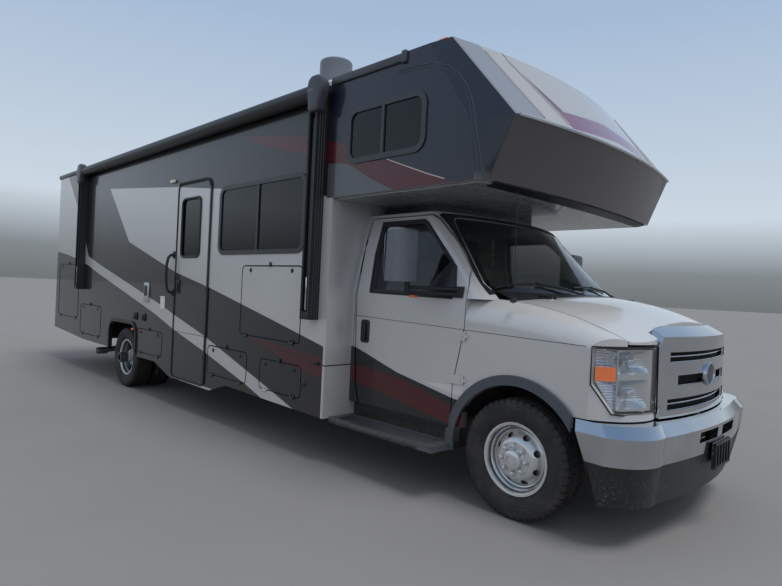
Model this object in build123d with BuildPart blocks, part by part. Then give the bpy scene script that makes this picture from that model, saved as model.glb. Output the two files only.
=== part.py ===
from build123d import *
from math import cos, pi, radians, sin
import os

# A class C motorhome: a cutaway van chassis with a coach body over it.
# Millimetres. +X forward, +Y to the driver's side, +Z up, ground at Z = 0.
# Stations are distances from the front axle, forward positive.

# Chassis
FRONT_AXLE_X = 3890.0
WHEELBASE = 5592.0
REAR_AXLE_X = FRONT_AXLE_X - WHEELBASE
TYRE_R = 370.0
TYRE_W = 222.0
BEAD_R = 203.0
RIM_LIP_R = 221.0
RIM_W = 168.0
FRONT_TYRE_Y = 879.0
REAR_TYRE_Y = 988.0
DUAL_SPACING = 267.0
KINGPIN_Y = 770.0
KINGPIN_R = 14.0
BEAM_BOSS_H = 90.0
SPINDLE_R = 30.0
SHAFT_FIT = 0.1
RAIL_Y = 430.0
RAIL_H = 180.0
RAIL_FLANGE = 65.0
RAIL_T = 8.0
RAIL_BOTTOM = 520.0
RAIL_TOP = RAIL_BOTTOM + RAIL_H
REAR_OVERHANG = 2968.0

# Hinges: pins, eyes and the lines they turn about
HINGE_PIN_R = 4.0
HINGE_FIT = 0.05
HINGE_EYE_R = 7.0
HINGE_HALF = 30.0
EYE_HALF = 11.0
EYE_GAP = 0.5
HATCH_HINGE_PROUD = 7.0
ENTRY_HINGE = (-3458.0, 10.0)
ENTRY_HINGE_Z = (600.0, 1300.0, 2150.0)
CAB_HINGE = (-400.0, 1002.0)
CAB_HINGE_Z = {800.0: -515.0, 1090.0: -455.0}
HOOD_HINGE = (-108.0, 620.0, 1385.0)

# Coach body
COACH_REAR_X = REAR_AXLE_X - REAR_OVERHANG
COACH_FRONT = -1530.0
CAP_REAR = -1600.0
COACH_HALF_W = 1254.0
WALL_T = 35.0
INNER_HALF_W = COACH_HALF_W - WALL_T
WALL_TOP = 2935.0
ROOF_EDGE_TOP = 2990.0
ROOF_CROWN = 25.0
FLOOR_BOTTOM = 820.0
FLOOR_TOP = 880.0
CAP_BOTTOM = 2060.0
REAR_SKIRT_Z = 536.0
FRONT_SKIRT_Z = 361.0
ARCH_X = REAR_AXLE_X - 50.0
ARCH_HALF = 440.0
ARCH_TOP = 805.0
GAP = 5.0

# Cab
CAB_HALF_W = 990.0
CAB_BELT = 1340.0
CAB_ROOF = 1965.0
CAB_ROOF_HALF_W = 852.0
CAB_FLOOR = 755.0
CAB_FLOOR_T = 55.0
CAB_SILL = 485.0
CAB_SHELL = 62.0
CLIP_T = 26.0
CAB_GAP = 8.0
HOOD_HALF_W = 868.0
LAMP_INNER_Y = 622.0
GRILLE_HALF_W = 615.0
GRILLE_TOP = 1235.0

# Doors and hatches: rear end, front end, bottom, top, all from the front axle and the ground
ENTRY = (-4170.0, -3460.0, 330.0, 2400.0)
ENTRY_PANE = (-4070.0, -3660.0, 1630.0, 2240.0)
STEPWELL_DEPTH = 560.0
HATCH_T = 30.0
BAY_T = 12.0
# Hatches: side (-1 is the passenger's side), rear end, front end, bottom, top, depth of the bay
HATCHES = {
    "rear_locker": (-1, -8400.0, -7430.0, 740.0, 1550.0, 550.0),
    "wet_bay": (-1, -7300.0, -6440.0, 540.0, 970.0, 420.0),
    "generator": (-1, -5165.0, -4450.0, 490.0, 780.0, 560.0),
    "luggage_a": (-1, -3390.0, -2645.0, 460.0, 750.0, 700.0),
    "luggage_b": (-1, -2440.0, -1820.0, 460.0, 730.0, 700.0),
    "media": (-1, -2800.0, -1860.0, 900.0, 1540.0, 350.0),
    "left_locker": (1, -8400.0, -7430.0, 740.0, 1550.0, 550.0),
    "left_luggage": (1, -3390.0, -2645.0, 460.0, 750.0, 450.0),
}
# Coach windows: side, rear end, front end, bottom, top, divider
WINDOWS = [
    (-1, -3250.0, -1870.0, 1650.0, 2290.0, -2570.0),
    (1, -3250.0, -1870.0, 1650.0, 2290.0, -2570.0),
    (1, -5400.0, -4300.0, 1650.0, 2290.0, -4850.0),
    (1, -7150.0, -6300.0, 1650.0, 2290.0, -6725.0),
]
CAP_WINDOWS = [(side, -1367.0, -606.0, 2300.0, 2690.0, -1000.0) for side in (-1, 1)]
WINDOW_R = 90.0
FRAME_W = 28.0
FRAME_PROUD = 10.0
GLASS_T = 8.0

AWNING_REAR = -7390.0
AWNING_FRONT = -1650.0
AWNING_R = 62.0
AWNING_Z = 2885.0
ARM_W = 110.0
ARM_DEPTH = 100.0
ARM_FEET = {-7250.0: 1180.0, -1690.0: 1115.0}

RECEIVER_IN = 51.0
RECEIVER_T = 6.5
RECEIVER_PIN_R = 8.1

os.makedirs("parts", exist_ok=True)


def station(distance):
    """The X of a station, measured forward from the front axle."""
    return FRONT_AXLE_X + distance


def finish(piece, name):
    """Label a piece and write it."""
    piece.part.label = name
    export_step(piece.part, f"parts/{name}.step")


def side_panel(rear, front, bottom, top, radius, y_out, depth, mode=Mode.ADD):
    """A rounded rectangle in a side wall, from y_out towards the centre line."""
    with BuildSketch(Plane.XZ.offset(-y_out)) as outline:
        with Locations((station((rear + front) / 2), (bottom + top) / 2)):
            RectangleRounded(front - rear, top - bottom, radius)
    extrude(outline.sketch, amount=depth if y_out > 0 else -depth, mode=mode)


def side_outline(points, y_out, depth, mode=Mode.ADD):
    """An outline of (station, height) points in a side wall, from y_out towards the centre line."""
    with BuildSketch(Plane.XZ.offset(-y_out)) as outline:
        with BuildLine() as edge:
            Polyline(*[(station(x), z) for x, z in points], close=True)
        make_face()
    extrude(outline.sketch, amount=depth if y_out > 0 else -depth, mode=mode)


def block(x0, x1, y0, y1, z0, z1, mode=Mode.ADD):
    """A straight block between two stations, two sides and two heights."""
    with Locations((station((x0 + x1) / 2), (y0 + y1) / 2, (z0 + z1) / 2)):
        Box(x1 - x0, y1 - y0, z1 - z0, mode=mode)


def tube_between(start, end, radius, mode=Mode.ADD):
    """A round bar from one point to another."""
    run = Vector(*end) - Vector(*start)
    with BuildSketch(Plane(origin=start, z_dir=run)) as section:
        Circle(radius)
    extrude(section.sketch, amount=run.length, mode=mode)


def along(centre, axis, offset):
    """A point on an axis, offset from its centre."""
    return tuple(c + a * offset for c, a in zip(centre, axis))


def hinge_pin(centre, axis):
    """The moving half of a hinge: a pin with an eye at either end."""
    tube_between(along(centre, axis, -HINGE_HALF), along(centre, axis, HINGE_HALF), HINGE_PIN_R)
    for end in (-1, 1):
        tube_between(along(centre, axis, end * (EYE_HALF + EYE_GAP)), along(centre, axis, end * HINGE_HALF),
                     HINGE_EYE_R)


def hinge_eye(centre, axis):
    """The fixed half of a hinge: one eye between the moving pair, bored for the pin."""
    tube_between(along(centre, axis, -EYE_HALF), along(centre, axis, EYE_HALF), HINGE_EYE_R)
    tube_between(along(centre, axis, -EYE_HALF), along(centre, axis, EYE_HALF), HINGE_PIN_R + HINGE_FIT,
                 mode=Mode.SUBTRACT)


def turned(points, axle_x, y_centre, side, mode=Mode.ADD):
    """A form turned about an axle from (radius, outward distance) points."""
    with BuildSketch(Plane.YZ.offset(axle_x)) as section:
        with BuildLine() as edge:
            Polyline(*[(side * (y_centre + out), TYRE_R + r) for r, out in points], close=True)
        make_face()
    revolve(section.sketch, axis=Axis((axle_x, 0, TYRE_R), (0, 1, 0)), mode=mode)


# Frame rails: two channels, open towards the middle
RAIL_FRONT = 560.0
RAIL_REAR_X = COACH_REAR_X + 120.0
CROSS_STATIONS = [430.0, -1450.0, -2950.0, -4150.0, -5150.0, -6150.0, -7200.0]
OUTRIGGERS = [-1700.0, -2540.0, -4320.0, -6250.0, -7365.0]
with BuildPart() as frame_rails:
    with BuildSketch(Plane.YZ.offset(RAIL_REAR_X)) as channel:
        for side in (-1, 1):
            with Locations((side * (RAIL_Y - RAIL_FLANGE / 2), RAIL_BOTTOM + RAIL_H / 2)):
                Rectangle(RAIL_FLANGE, RAIL_H)
            with Locations((side * (RAIL_Y - RAIL_FLANGE / 2 - RAIL_T), RAIL_BOTTOM + RAIL_H / 2)):
                Rectangle(RAIL_FLANGE, RAIL_H - 2 * RAIL_T, mode=Mode.SUBTRACT)
    extrude(amount=station(RAIL_FRONT) - RAIL_REAR_X)
finish(frame_rails, "frame_rails")

# Cross members between the rails' webs, the closing member between their flanges at the rear, and
# outriggers laid across the rails under the coach floor
with BuildPart() as cross_members:
    for x in CROSS_STATIONS:
        block(x - 40, x + 40, -RAIL_Y + RAIL_T, RAIL_Y - RAIL_T, RAIL_TOP - 100, RAIL_TOP - 30)
    rear = RAIL_REAR_X - FRONT_AXLE_X
    block(rear, rear + 80, -RAIL_Y + RAIL_FLANGE, RAIL_Y - RAIL_FLANGE, RAIL_BOTTOM, RAIL_TOP)
    for x in OUTRIGGERS:
        block(x - 30, x + 30, -INNER_HALF_W + 40, INNER_HALF_W - 40, RAIL_TOP, FLOOR_BOTTOM)
finish(cross_members, "cross_members")

# Towing receiver: a square tube under the closing member, bored across for its pin
RECEIVER_LENGTH = 300.0
RECEIVER_OUT = RECEIVER_IN + 2 * RECEIVER_T
RECEIVER_Z = RAIL_BOTTOM - RECEIVER_OUT / 2
RECEIVER_REAR_X = COACH_REAR_X - 60.0
PIN_FROM_MOUTH = 55.0
with BuildPart() as tow_receiver:
    with Locations((RECEIVER_REAR_X + RECEIVER_LENGTH / 2, 0, RECEIVER_Z)):
        Box(RECEIVER_LENGTH, RECEIVER_OUT, RECEIVER_OUT)
        Box(RECEIVER_LENGTH, RECEIVER_IN, RECEIVER_IN, mode=Mode.SUBTRACT)
    with BuildSketch(Plane.XZ.offset(RECEIVER_OUT)) as pin_hole:
        with Locations((RECEIVER_REAR_X + PIN_FROM_MOUTH, RECEIVER_Z)):
            Circle(RECEIVER_PIN_R)
    extrude(amount=-2 * RECEIVER_OUT, mode=Mode.SUBTRACT)
finish(tow_receiver, "tow_receiver")

# Engine and gearbox: one plain block between the rails
ENGINE = (-380.0, 300.0, 255.0, 560.0, 1100.0)
with BuildPart() as engine_block:
    block(ENGINE[0], ENGINE[1], -ENGINE[2], ENGINE[2], ENGINE[3] + 100, ENGINE[4])
    block(-1350, ENGINE[0], -150, 150, RAIL_BOTTOM - 20, RAIL_TOP - 20)
    block(-300, -220, -RAIL_Y + RAIL_T, RAIL_Y - RAIL_T, ENGINE[3] + 40, ENGINE[3] + 110)
finish(engine_block, "engine_block")

# Axles. Front: two crossing I beams, each from a pivot bracket under the far rail to its kingpin boss.
# Rear: housing, differential, stub ends, leaf springs and the propeller shaft
BEAM_W = 70.0
BEAM_Z = TYRE_R
BOSS_R = 36.0
SPRING_R = 62.0
SPRING_Y = 540.0
SPRING_HALF = 700.0
SPRING_T = 42.0
SPRING_W = 75.0
REAR_STUB_END = REAR_TYRE_Y - DUAL_SPACING / 2 + 190
with BuildPart() as axles:
    for side, x in ((-1, 45.0), (1, -45.0)):
        pivot_y = -side * 260.0
        with BuildSketch(Plane.YZ.offset(station(x) - BEAM_W / 2)) as beam:
            with BuildLine() as edge:
                Polyline((pivot_y, BEAM_Z + 10), (side * 560, BEAM_Z - 75), (side * 700, BEAM_Z - 35),
                         (side * 730, BEAM_Z + 35), (side * 540, BEAM_Z - 5), (pivot_y, BEAM_Z + 90),
                         close=True)
            make_face()
        extrude(amount=BEAM_W)
        tube_between((station(0), side * KINGPIN_Y, BEAM_Z - BEAM_BOSS_H / 2),
                     (station(0), side * KINGPIN_Y, BEAM_Z + BEAM_BOSS_H / 2), BOSS_R)
        block(-80, 80, min(side * 700, side * 745), max(side * 700, side * 745), BEAM_Z - 35, BEAM_Z + 35)
        block(x - 50, x + 50, pivot_y - 40, pivot_y + 40, BEAM_Z + 20, RAIL_BOTTOM + 60)
        tube_between((station(0), side * 560, BEAM_Z - 20), (station(0), side * 560, RAIL_TOP - 60), SPRING_R)
        block(-70, 70, min(side * RAIL_Y, side * 620), max(side * RAIL_Y, side * 620), RAIL_TOP - 62, RAIL_TOP - 40)
    block(-110, 110, -RAIL_Y + RAIL_T, RAIL_Y - RAIL_T, RAIL_BOTTOM + RAIL_T, RAIL_BOTTOM + 60)
    for side in (-1, 1):
        tube_between((station(0), side * KINGPIN_Y, 0), (station(0), side * KINGPIN_Y, 2 * BEAM_Z),
                     KINGPIN_R + SHAFT_FIT, mode=Mode.SUBTRACT)
    tube_between((REAR_AXLE_X, -690, TYRE_R), (REAR_AXLE_X, 690, TYRE_R), 60)
    tube_between((REAR_AXLE_X, -REAR_STUB_END, TYRE_R), (REAR_AXLE_X, REAR_STUB_END, TYRE_R), SPINDLE_R + 10)
    with Locations((REAR_AXLE_X, 0, TYRE_R)):
        Sphere(170)
    for side in (-1, 1):
        with BuildSketch(Plane.XZ.offset(-side * SPRING_Y + SPRING_W / 2)) as leaf:
            with BuildLine() as edge:
                low = TYRE_R + 60
                a = (REAR_AXLE_X - SPRING_HALF, low + 60)
                b = (REAR_AXLE_X + SPRING_HALF, low + 60)
                ThreePointArc(a, (REAR_AXLE_X, low), b)
                Line(b, (b[0], b[1] + SPRING_T))
                ThreePointArc((b[0], b[1] + SPRING_T), (REAR_AXLE_X, low + SPRING_T), (a[0], a[1] + SPRING_T))
                Line((a[0], a[1] + SPRING_T), a)
            make_face()
        extrude(amount=-SPRING_W)
        for end in (-1, 1):
            x = REAR_AXLE_X - FRONT_AXLE_X + end * (SPRING_HALF - 30)
            block(x - 30, x + 30, min(side * RAIL_Y, side * (SPRING_Y + 37)), max(side * RAIL_Y, side * (SPRING_Y + 37)),
                  TYRE_R + 110, RAIL_BOTTOM + 90)
        x = REAR_AXLE_X - FRONT_AXLE_X
        block(x - 60, x + 60, side * SPRING_Y - 45, side * SPRING_Y + 45, TYRE_R, TYRE_R + 62)
    tube_between((REAR_AXLE_X + 150, 0, TYRE_R + 20), (station(-1356), 0, RAIL_BOTTOM + 20), 42)
finish(axles, "axles")

# Knuckles: a fork over the boss with its kingpin, and a spindle out to the hub
ARM_T = 22.0
ARM_GAP = 0.5
SPINDLE_END = FRONT_TYRE_Y + 55.0
for side, name in ((-1, "knuckle_right"), (1, "knuckle_left")):
    with BuildPart() as knuckle:
        top = BEAM_BOSS_H / 2 + ARM_GAP
        tube_between((station(0), side * KINGPIN_Y, BEAM_Z - top - ARM_T),
                     (station(0), side * KINGPIN_Y, BEAM_Z + top + ARM_T), KINGPIN_R)
        for z0 in (BEAM_Z - top - ARM_T, BEAM_Z + top):
            tube_between((station(0), side * KINGPIN_Y, z0), (station(0), side * KINGPIN_Y, z0 + ARM_T), BOSS_R)
            block(-BOSS_R, BOSS_R, min(side * KINGPIN_Y, side * (KINGPIN_Y + 62)),
                  max(side * KINGPIN_Y, side * (KINGPIN_Y + 62)), z0, z0 + ARM_T)
        block(-BOSS_R, BOSS_R, min(side * (KINGPIN_Y + 42), side * (KINGPIN_Y + 62)),
              max(side * (KINGPIN_Y + 42), side * (KINGPIN_Y + 62)), BEAM_Z - top - ARM_T, BEAM_Z + top + ARM_T)
        tube_between((station(0), side * (KINGPIN_Y + 50), TYRE_R), (station(0), side * SPINDLE_END, TYRE_R),
                     SPINDLE_R)
    finish(knuckle, name)

# Wheels: a rolled rim and a dished cover plate, (radius, outward distance) from the wheel's middle
RIM_HALF = RIM_W / 2
BARREL = [(RIM_LIP_R, -RIM_HALF), (RIM_LIP_R, -RIM_HALF + 8), (BEAD_R, -RIM_HALF + 12), (BEAD_R, -50),
          (182, -36), (182, 36), (BEAD_R, 50), (BEAD_R, RIM_HALF - 12), (RIM_LIP_R, RIM_HALF - 8),
          (RIM_LIP_R, RIM_HALF), (RIM_LIP_R - 9, RIM_HALF), (193, RIM_HALF - 18), (193, 46), (174, 32),
          (174, -32), (193, -46), (193, -RIM_HALF + 18), (RIM_LIP_R - 9, -RIM_HALF)]
HUB_BORE = SPINDLE_R + SHAFT_FIT
FRONT_DISC = [(HUB_BORE, -20), (HUB_BORE, 58), (0, 58), (0, 122), (44, 122), (56, 114), (60, 84), (110, 80),
              (128, 66), (152, 36), (180, 28), (180, 18), (148, 24), (120, 54), (100, 64), (60, 60), (60, -20)]
REAR_DISC = [(0, -20), (0, 96), (50, 96), (62, 86), (66, 4), (110, -2), (130, -14), (160, -42), (197, -46),
             (197, -58), (152, -56), (120, -28), (66, -20)]
HAND_HOLES = 8
HAND_HOLE_R = 15.0
LUGS = 8
LUG_R = 82.0


def tyre(axle_x, y_centre, side):
    """A tyre with rounded shoulders, seated on the rim's beads."""
    half = TYRE_W / 2
    with BuildSketch(Plane.YZ.offset(axle_x)) as section:
        with BuildLine() as edge:
            for flip in (-1, 1):
                a = [(side * (y_centre + flip * out), TYRE_R + r) for r, out in (
                    (BEAD_R, 70), (BEAD_R + 19, 73), (BEAD_R + 48, 100), (BEAD_R + 86, half - 3),
                    (TYRE_R - 26, half - 3), (TYRE_R, half - 19))]
                Line(a[0], a[1])
                ThreePointArc(a[1], a[2], a[3])
                ThreePointArc(a[3], a[4], a[5])
            ends = [(side * (y_centre + flip * out), TYRE_R + r) for r, out, flip in (
                (BEAD_R, 70, -1), (BEAD_R, 70, 1), (TYRE_R, half - 19, -1), (TYRE_R, half - 19, 1))]
            Line(ends[0], ends[1])
            Line(ends[2], ends[3])
        make_face()
    revolve(section.sketch, axis=Axis((axle_x, 0, TYRE_R), (0, 1, 0)))


def wheel(axle_x, y_centre, side, disc, lug_out):
    """A rim with its dished plate, hand holes and lug caps."""
    turned(BARREL, axle_x, y_centre, side)
    turned(disc, axle_x, y_centre, side)
    face = Plane(origin=(axle_x, side * y_centre, TYRE_R), z_dir=(0, side, 0))
    with BuildSketch(face.offset(-90)) as holes:
        with PolarLocations(143, HAND_HOLES):
            Circle(HAND_HOLE_R)
    extrude(holes.sketch, amount=180, mode=Mode.SUBTRACT)
    with BuildSketch(face.offset(lug_out - 12)) as caps:
        with PolarLocations(LUG_R, LUGS):
            Circle(15)
    extrude(caps.sketch, amount=34, taper=8)


for side, tag in ((-1, "right"), (1, "left")):
    with BuildPart() as front_tyre:
        tyre(FRONT_AXLE_X, FRONT_TYRE_Y, side)
    finish(front_tyre, f"front_tyre_{tag}")
    with BuildPart() as front_wheel:
        wheel(FRONT_AXLE_X, FRONT_TYRE_Y, side, FRONT_DISC, 80)
    finish(front_wheel, f"front_wheel_{tag}")
    outer_y = REAR_TYRE_Y + DUAL_SPACING / 2
    inner_y = REAR_TYRE_Y - DUAL_SPACING / 2
    with BuildPart() as rear_tyres:
        tyre(REAR_AXLE_X, outer_y, side)
        tyre(REAR_AXLE_X, inner_y, side)
    finish(rear_tyres, f"rear_tyres_{tag}")
    with BuildPart() as rear_wheels:
        wheel(REAR_AXLE_X, outer_y, side, REAR_DISC, 4)
        turned(BARREL, REAR_AXLE_X, inner_y, side)
        turned([(55, 74), (55, 34), (180, 34), (180, 46), (100, 74)], REAR_AXLE_X, inner_y, side)
        turned([(SPINDLE_R + 10 + SHAFT_FIT, -60), (SPINDLE_R + 10 + SHAFT_FIT, 247), (60, 247), (70, 40),
                (70, -60)], REAR_AXLE_X, inner_y, side)
    finish(rear_wheels, f"rear_wheels_{tag}")

# Exhaust: pipe, silencer and a tail pipe that turns out behind the rear wheel
EXHAUST_Y = -310.0
with BuildPart() as exhaust:
    route = [(station(-150), EXHAUST_Y, 500), (station(-1500), EXHAUST_Y, 480),
             (station(-4900), EXHAUST_Y, 482), (station(-5900), EXHAUST_Y, 482),
             (station(-6500), EXHAUST_Y, 440), (station(-6680), -1190, 335)]
    with BuildLine() as path:
        FilletPolyline(*[(x, y, z) for x, y, z in route], radius=120)
    with BuildSketch(Plane(origin=route[0], z_dir=Vector(*route[1]) - Vector(*route[0]))) as section:
        Circle(38)
    sweep()
    tube_between((station(-2200), EXHAUST_Y, 440), (station(-2800), EXHAUST_Y, 440), 75)
    for x in (-1200.0, -3500.0, -4700.0):
        block(x - 15, x + 15, -410, EXHAUST_Y, 495, RAIL_BOTTOM)
finish(exhaust, "exhaust")

# Under-floor units: fuel tank, three holding tanks and the generator, hung from rails and floor
with BuildPart() as underfloor_units:
    block(-7900, -6700, -RAIL_Y + 70, RAIL_Y - 70, 380, RAIL_TOP - 110)
    for y in (-RAIL_Y + 58, RAIL_Y - 58):
        block(-7700, -7660, y - 12, y + 12, 400, RAIL_BOTTOM)
        block(-6940, -6900, y - 12, y + 12, 400, RAIL_BOTTOM)
    block(-4280, -3480, 470, 1150, 600, FLOOR_BOTTOM)
    block(-3400, -2600, 470, 750, 560, FLOOR_BOTTOM)
finish(underfloor_units, "underfloor_units")


# Coach side walls: a flat sandwich with a dropped skirt, an arch, and every opening cut right through
SKIRT_RIGHT = [(-5180, 428), (-4640, 428), (-4250, 312), (-3334, 300), (-3010, 395)]


def span(side, start, depth):
    """The low and high Y of a layer outside a side's surface."""
    return sorted((side * start, side * (start + depth)))


def hatch_hinges(x0, x1):
    """The stations of a hatch's two hinges."""
    return x0 + 110, x1 - 110


def coach_wall(side):
    """One side wall of the coach."""
    rear = COACH_REAR_X - FRONT_AXLE_X
    outline = [(rear, REAR_SKIRT_Z), (rear + 1430, 457), (-6100, 450)]
    outline += SKIRT_RIGHT if side < 0 else [(-5180, 428)]
    outline += [(COACH_FRONT, FRONT_SKIRT_Z), (COACH_FRONT, CAP_BOTTOM), (CAP_REAR, CAP_BOTTOM),
                (CAP_REAR, WALL_TOP), (rear, WALL_TOP)]
    side_outline(outline, side * COACH_HALF_W, WALL_T)
    arch = ARCH_X - FRONT_AXLE_X
    side_panel(arch - ARCH_HALF, arch + ARCH_HALF, 0, ARCH_TOP, 150, side * COACH_HALF_W, WALL_T,
               mode=Mode.SUBTRACT)
    for hatch_side, x0, x1, z0, z1, depth in HATCHES.values():
        if hatch_side == side:
            side_panel(x0, x1, z0, z1, 50, side * COACH_HALF_W, WALL_T, mode=Mode.SUBTRACT)
    for window_side, x0, x1, z0, z1, divider in WINDOWS:
        if window_side == side:
            side_panel(x0, x1, z0, z1, WINDOW_R, side * COACH_HALF_W, WALL_T, mode=Mode.SUBTRACT)
    for hatch_side, x0, x1, z0, z1, depth in HATCHES.values():
        if hatch_side == side:
            for x in hatch_hinges(x0, x1):
                block(x - EYE_HALF, x + EYE_HALF, *span(side, COACH_HALF_W, HATCH_HINGE_PROUD), z0 - 20, z0)
                hinge_eye((station(x), side * (COACH_HALF_W + HATCH_HINGE_PROUD), z0), (1, 0, 0))
    if side < 0:
        side_panel(*ENTRY, 60, side * COACH_HALF_W, WALL_T, mode=Mode.SUBTRACT)
        x, proud = ENTRY_HINGE
        for z in ENTRY_HINGE_Z:
            block(x, x + 24, *span(side, COACH_HALF_W, proud), z - EYE_HALF, z + EYE_HALF)
            hinge_eye((station(x), side * (COACH_HALF_W + proud), z), (0, 0, 1))


with BuildPart() as coach_wall_right:
    coach_wall(-1)
finish(coach_wall_right, "coach_wall_right")
with BuildPart() as coach_wall_left:
    coach_wall(1)
finish(coach_wall_left, "coach_wall_left")

# Rear wall between the side walls, front wall either side of the cab with the way through
REAR = COACH_REAR_X - FRONT_AXLE_X
WALK_HALF_W = 620.0
WALK_TOP = 1900.0
with BuildPart() as coach_end_walls:
    block(REAR, REAR + WALL_T, -INNER_HALF_W, INNER_HALF_W, REAR_SKIRT_Z, WALL_TOP)
    block(COACH_FRONT - WALL_T, COACH_FRONT, -INNER_HALF_W, INNER_HALF_W, FRONT_SKIRT_Z, CAP_BOTTOM)
    block(COACH_FRONT - WALL_T, COACH_FRONT, -WALK_HALF_W, WALK_HALF_W, 0, WALK_TOP, mode=Mode.SUBTRACT)
    for side in (-1, 1):
        block(COACH_FRONT - WALL_T, COACH_FRONT, min(side * 600, side * 930), max(side * 600, side * 930), 0,
              FLOOR_BOTTOM, mode=Mode.SUBTRACT)
finish(coach_end_walls, "coach_end_walls")

# Roof: a crowned slab that covers the walls, from the rear to the cap
def roof_slab(mode=Mode.ADD):
    """The crowned slab of the roof, edge to edge."""
    with BuildSketch(Plane.YZ.offset(COACH_REAR_X)) as section:
        with BuildLine() as edge:
            corner = (COACH_HALF_W, ROOF_EDGE_TOP)
            ThreePointArc((-corner[0], corner[1]), (0, ROOF_EDGE_TOP + ROOF_CROWN), corner)
            Polyline(corner, (COACH_HALF_W, WALL_TOP), (-COACH_HALF_W, WALL_TOP), (-corner[0], corner[1]))
        make_face()
    extrude(section.sketch, amount=station(CAP_REAR) - COACH_REAR_X, mode=mode)


with BuildPart() as coach_roof:
    roof_slab()
    fillet(coach_roof.edges().filter_by(Axis.X).group_by(Axis.Z)[1], 25)
finish(coach_roof, "coach_roof")

# Baggage bays: one open box behind each hatch
def bay_box(side, x0, x1, z0, z1, depth, grow, y_reach, mode):
    """The outside (grow = BAY_T) or the inside (grow = 0) of a bay."""
    y_in = INNER_HALF_W - depth - grow
    block(x0 - grow, x1 + grow, min(side * y_in, side * y_reach), max(side * y_in, side * y_reach), z0 - grow,
          z1 + grow, mode=mode)


with BuildPart() as baggage_bays:
    for side, x0, x1, z0, z1, depth in HATCHES.values():
        bay_box(side, x0, x1, z0, z1, depth, BAY_T, INNER_HALF_W, Mode.ADD)
    for side, x0, x1, z0, z1, depth in HATCHES.values():
        bay_box(side, x0, x1, z0, z1, depth, 0, INNER_HALF_W, Mode.SUBTRACT)
finish(baggage_bays, "baggage_bays")

# Coach floor with the stepwell behind the entry door
STEP_T = 25.0
with BuildPart() as coach_floor:
    block(REAR + WALL_T, COACH_FRONT - WALL_T, -INNER_HALF_W, INNER_HALF_W, FLOOR_BOTTOM, FLOOR_TOP)
    for side, x0, x1, z0, z1, depth in HATCHES.values():
        bay_box(side, x0, x1, z0, z1, depth, BAY_T, INNER_HALF_W, Mode.SUBTRACT)
    x0, x1, z0, z1 = ENTRY
    y_in = -INNER_HALF_W + STEPWELL_DEPTH
    block(x0 - STEP_T, x1 + STEP_T, -INNER_HALF_W, y_in + STEP_T, z0, FLOOR_TOP)
    block(x0, x1, -INNER_HALF_W, y_in, z0 + STEP_T, FLOOR_TOP, mode=Mode.SUBTRACT)
    block(x0, x1, -INNER_HALF_W + STEPWELL_DEPTH / 2, y_in, z0 + STEP_T, (z0 + FLOOR_TOP) / 2)
finish(coach_floor, "coach_floor")

# Over-cab cap: three plan outlines joined by ruled faces, with the ridge between roof and lower edge
RIDGE_Z = 2430.0
# Cap plans: height, half width at the front corner, station of that corner, station of the nose at the
# centre line, and the station where the side starts to draw in
CAP_PLANS = [(CAP_BOTTOM, 1205.0, -105.0, -25.0, -190.0), (RIDGE_Z, 1192.0, 50.0, 178.0, -235.0),
             (ROOF_EDGE_TOP, 1238.0, -420.0, -255.0, -600.0)]
CAP_CORNER_R = 22.0
CAP_T = 32.0


def cap_plan(height, half_w, corner, nose, turn, inset):
    """A plan outline of the cap: straight sides that draw in to a bowed front."""
    with BuildSketch(Plane.XY.offset(height)) as plan:
        with BuildLine() as edge:
            x0, x1, x2 = station(CAP_REAR), station(corner - inset), station(nose - inset)
            xt = station(turn)
            y, yt = half_w - inset, COACH_HALF_W - inset
            Polyline((x1, -y), (xt, -yt), (x0, -yt), (x0, yt), (xt, yt), (x1, y))
            ThreePointArc((x1, y), (x2, 0), (x1, -y))
        make_face()
        front = plan.vertices().sort_by(Axis.X)[-2:]
        fillet(front, CAP_CORNER_R)
    return plan.sketch


def cap_form(inset, bottom, top, mode=Mode.ADD):
    """The cap's solid form, drawn in by inset all round."""
    lower, ridge, roof = CAP_PLANS
    low = cap_plan(bottom, *lower[1:], inset)
    middle = cap_plan(ridge[0], *ridge[1:], inset * 1.25)
    high = cap_plan(top, *roof[1:], inset)
    loft([low, middle], ruled=True, mode=mode)
    loft([middle, high], ruled=True, mode=mode)


with BuildPart() as overcab_cap:
    cap_form(0, CAP_BOTTOM, ROOF_EDGE_TOP)
    cap_form(CAP_T, CAP_BOTTOM, ROOF_EDGE_TOP - 45, mode=Mode.SUBTRACT)
    for side, x0, x1, z0, z1, divider in CAP_WINDOWS:
        side_panel(x0, x1, z0, z1, WINDOW_R, side * (COACH_HALF_W + 1), 3 * WALL_T, mode=Mode.SUBTRACT)
finish(overcab_cap, "overcab_cap")

# Over-cab floor: a tray inside the cap's lower edge, with a collar down to the cab roof
TRAY_T = 40.0
COLLAR = (-1500.0, -980.0, 700.0)
with BuildPart() as overcab_floor:
    extrude(cap_plan(CAP_BOTTOM - 12, *CAP_PLANS[0][1:], CAP_T + 6), amount=TRAY_T)
    block(CAP_REAR, COACH_FRONT, -COACH_HALF_W, COACH_HALF_W, CAP_BOTTOM - 12, CAP_BOTTOM, mode=Mode.SUBTRACT)
    block(COLLAR[0], COLLAR[1], -COLLAR[2], COLLAR[2], CAB_ROOF, CAP_BOTTOM - 12)
    block(COLLAR[0] + 40, COLLAR[1] - 40, -COLLAR[2] + 40, COLLAR[2] - 40, CAB_ROOF, CAP_BOTTOM - 12,
          mode=Mode.SUBTRACT)
finish(overcab_floor, "overcab_floor")

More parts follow.
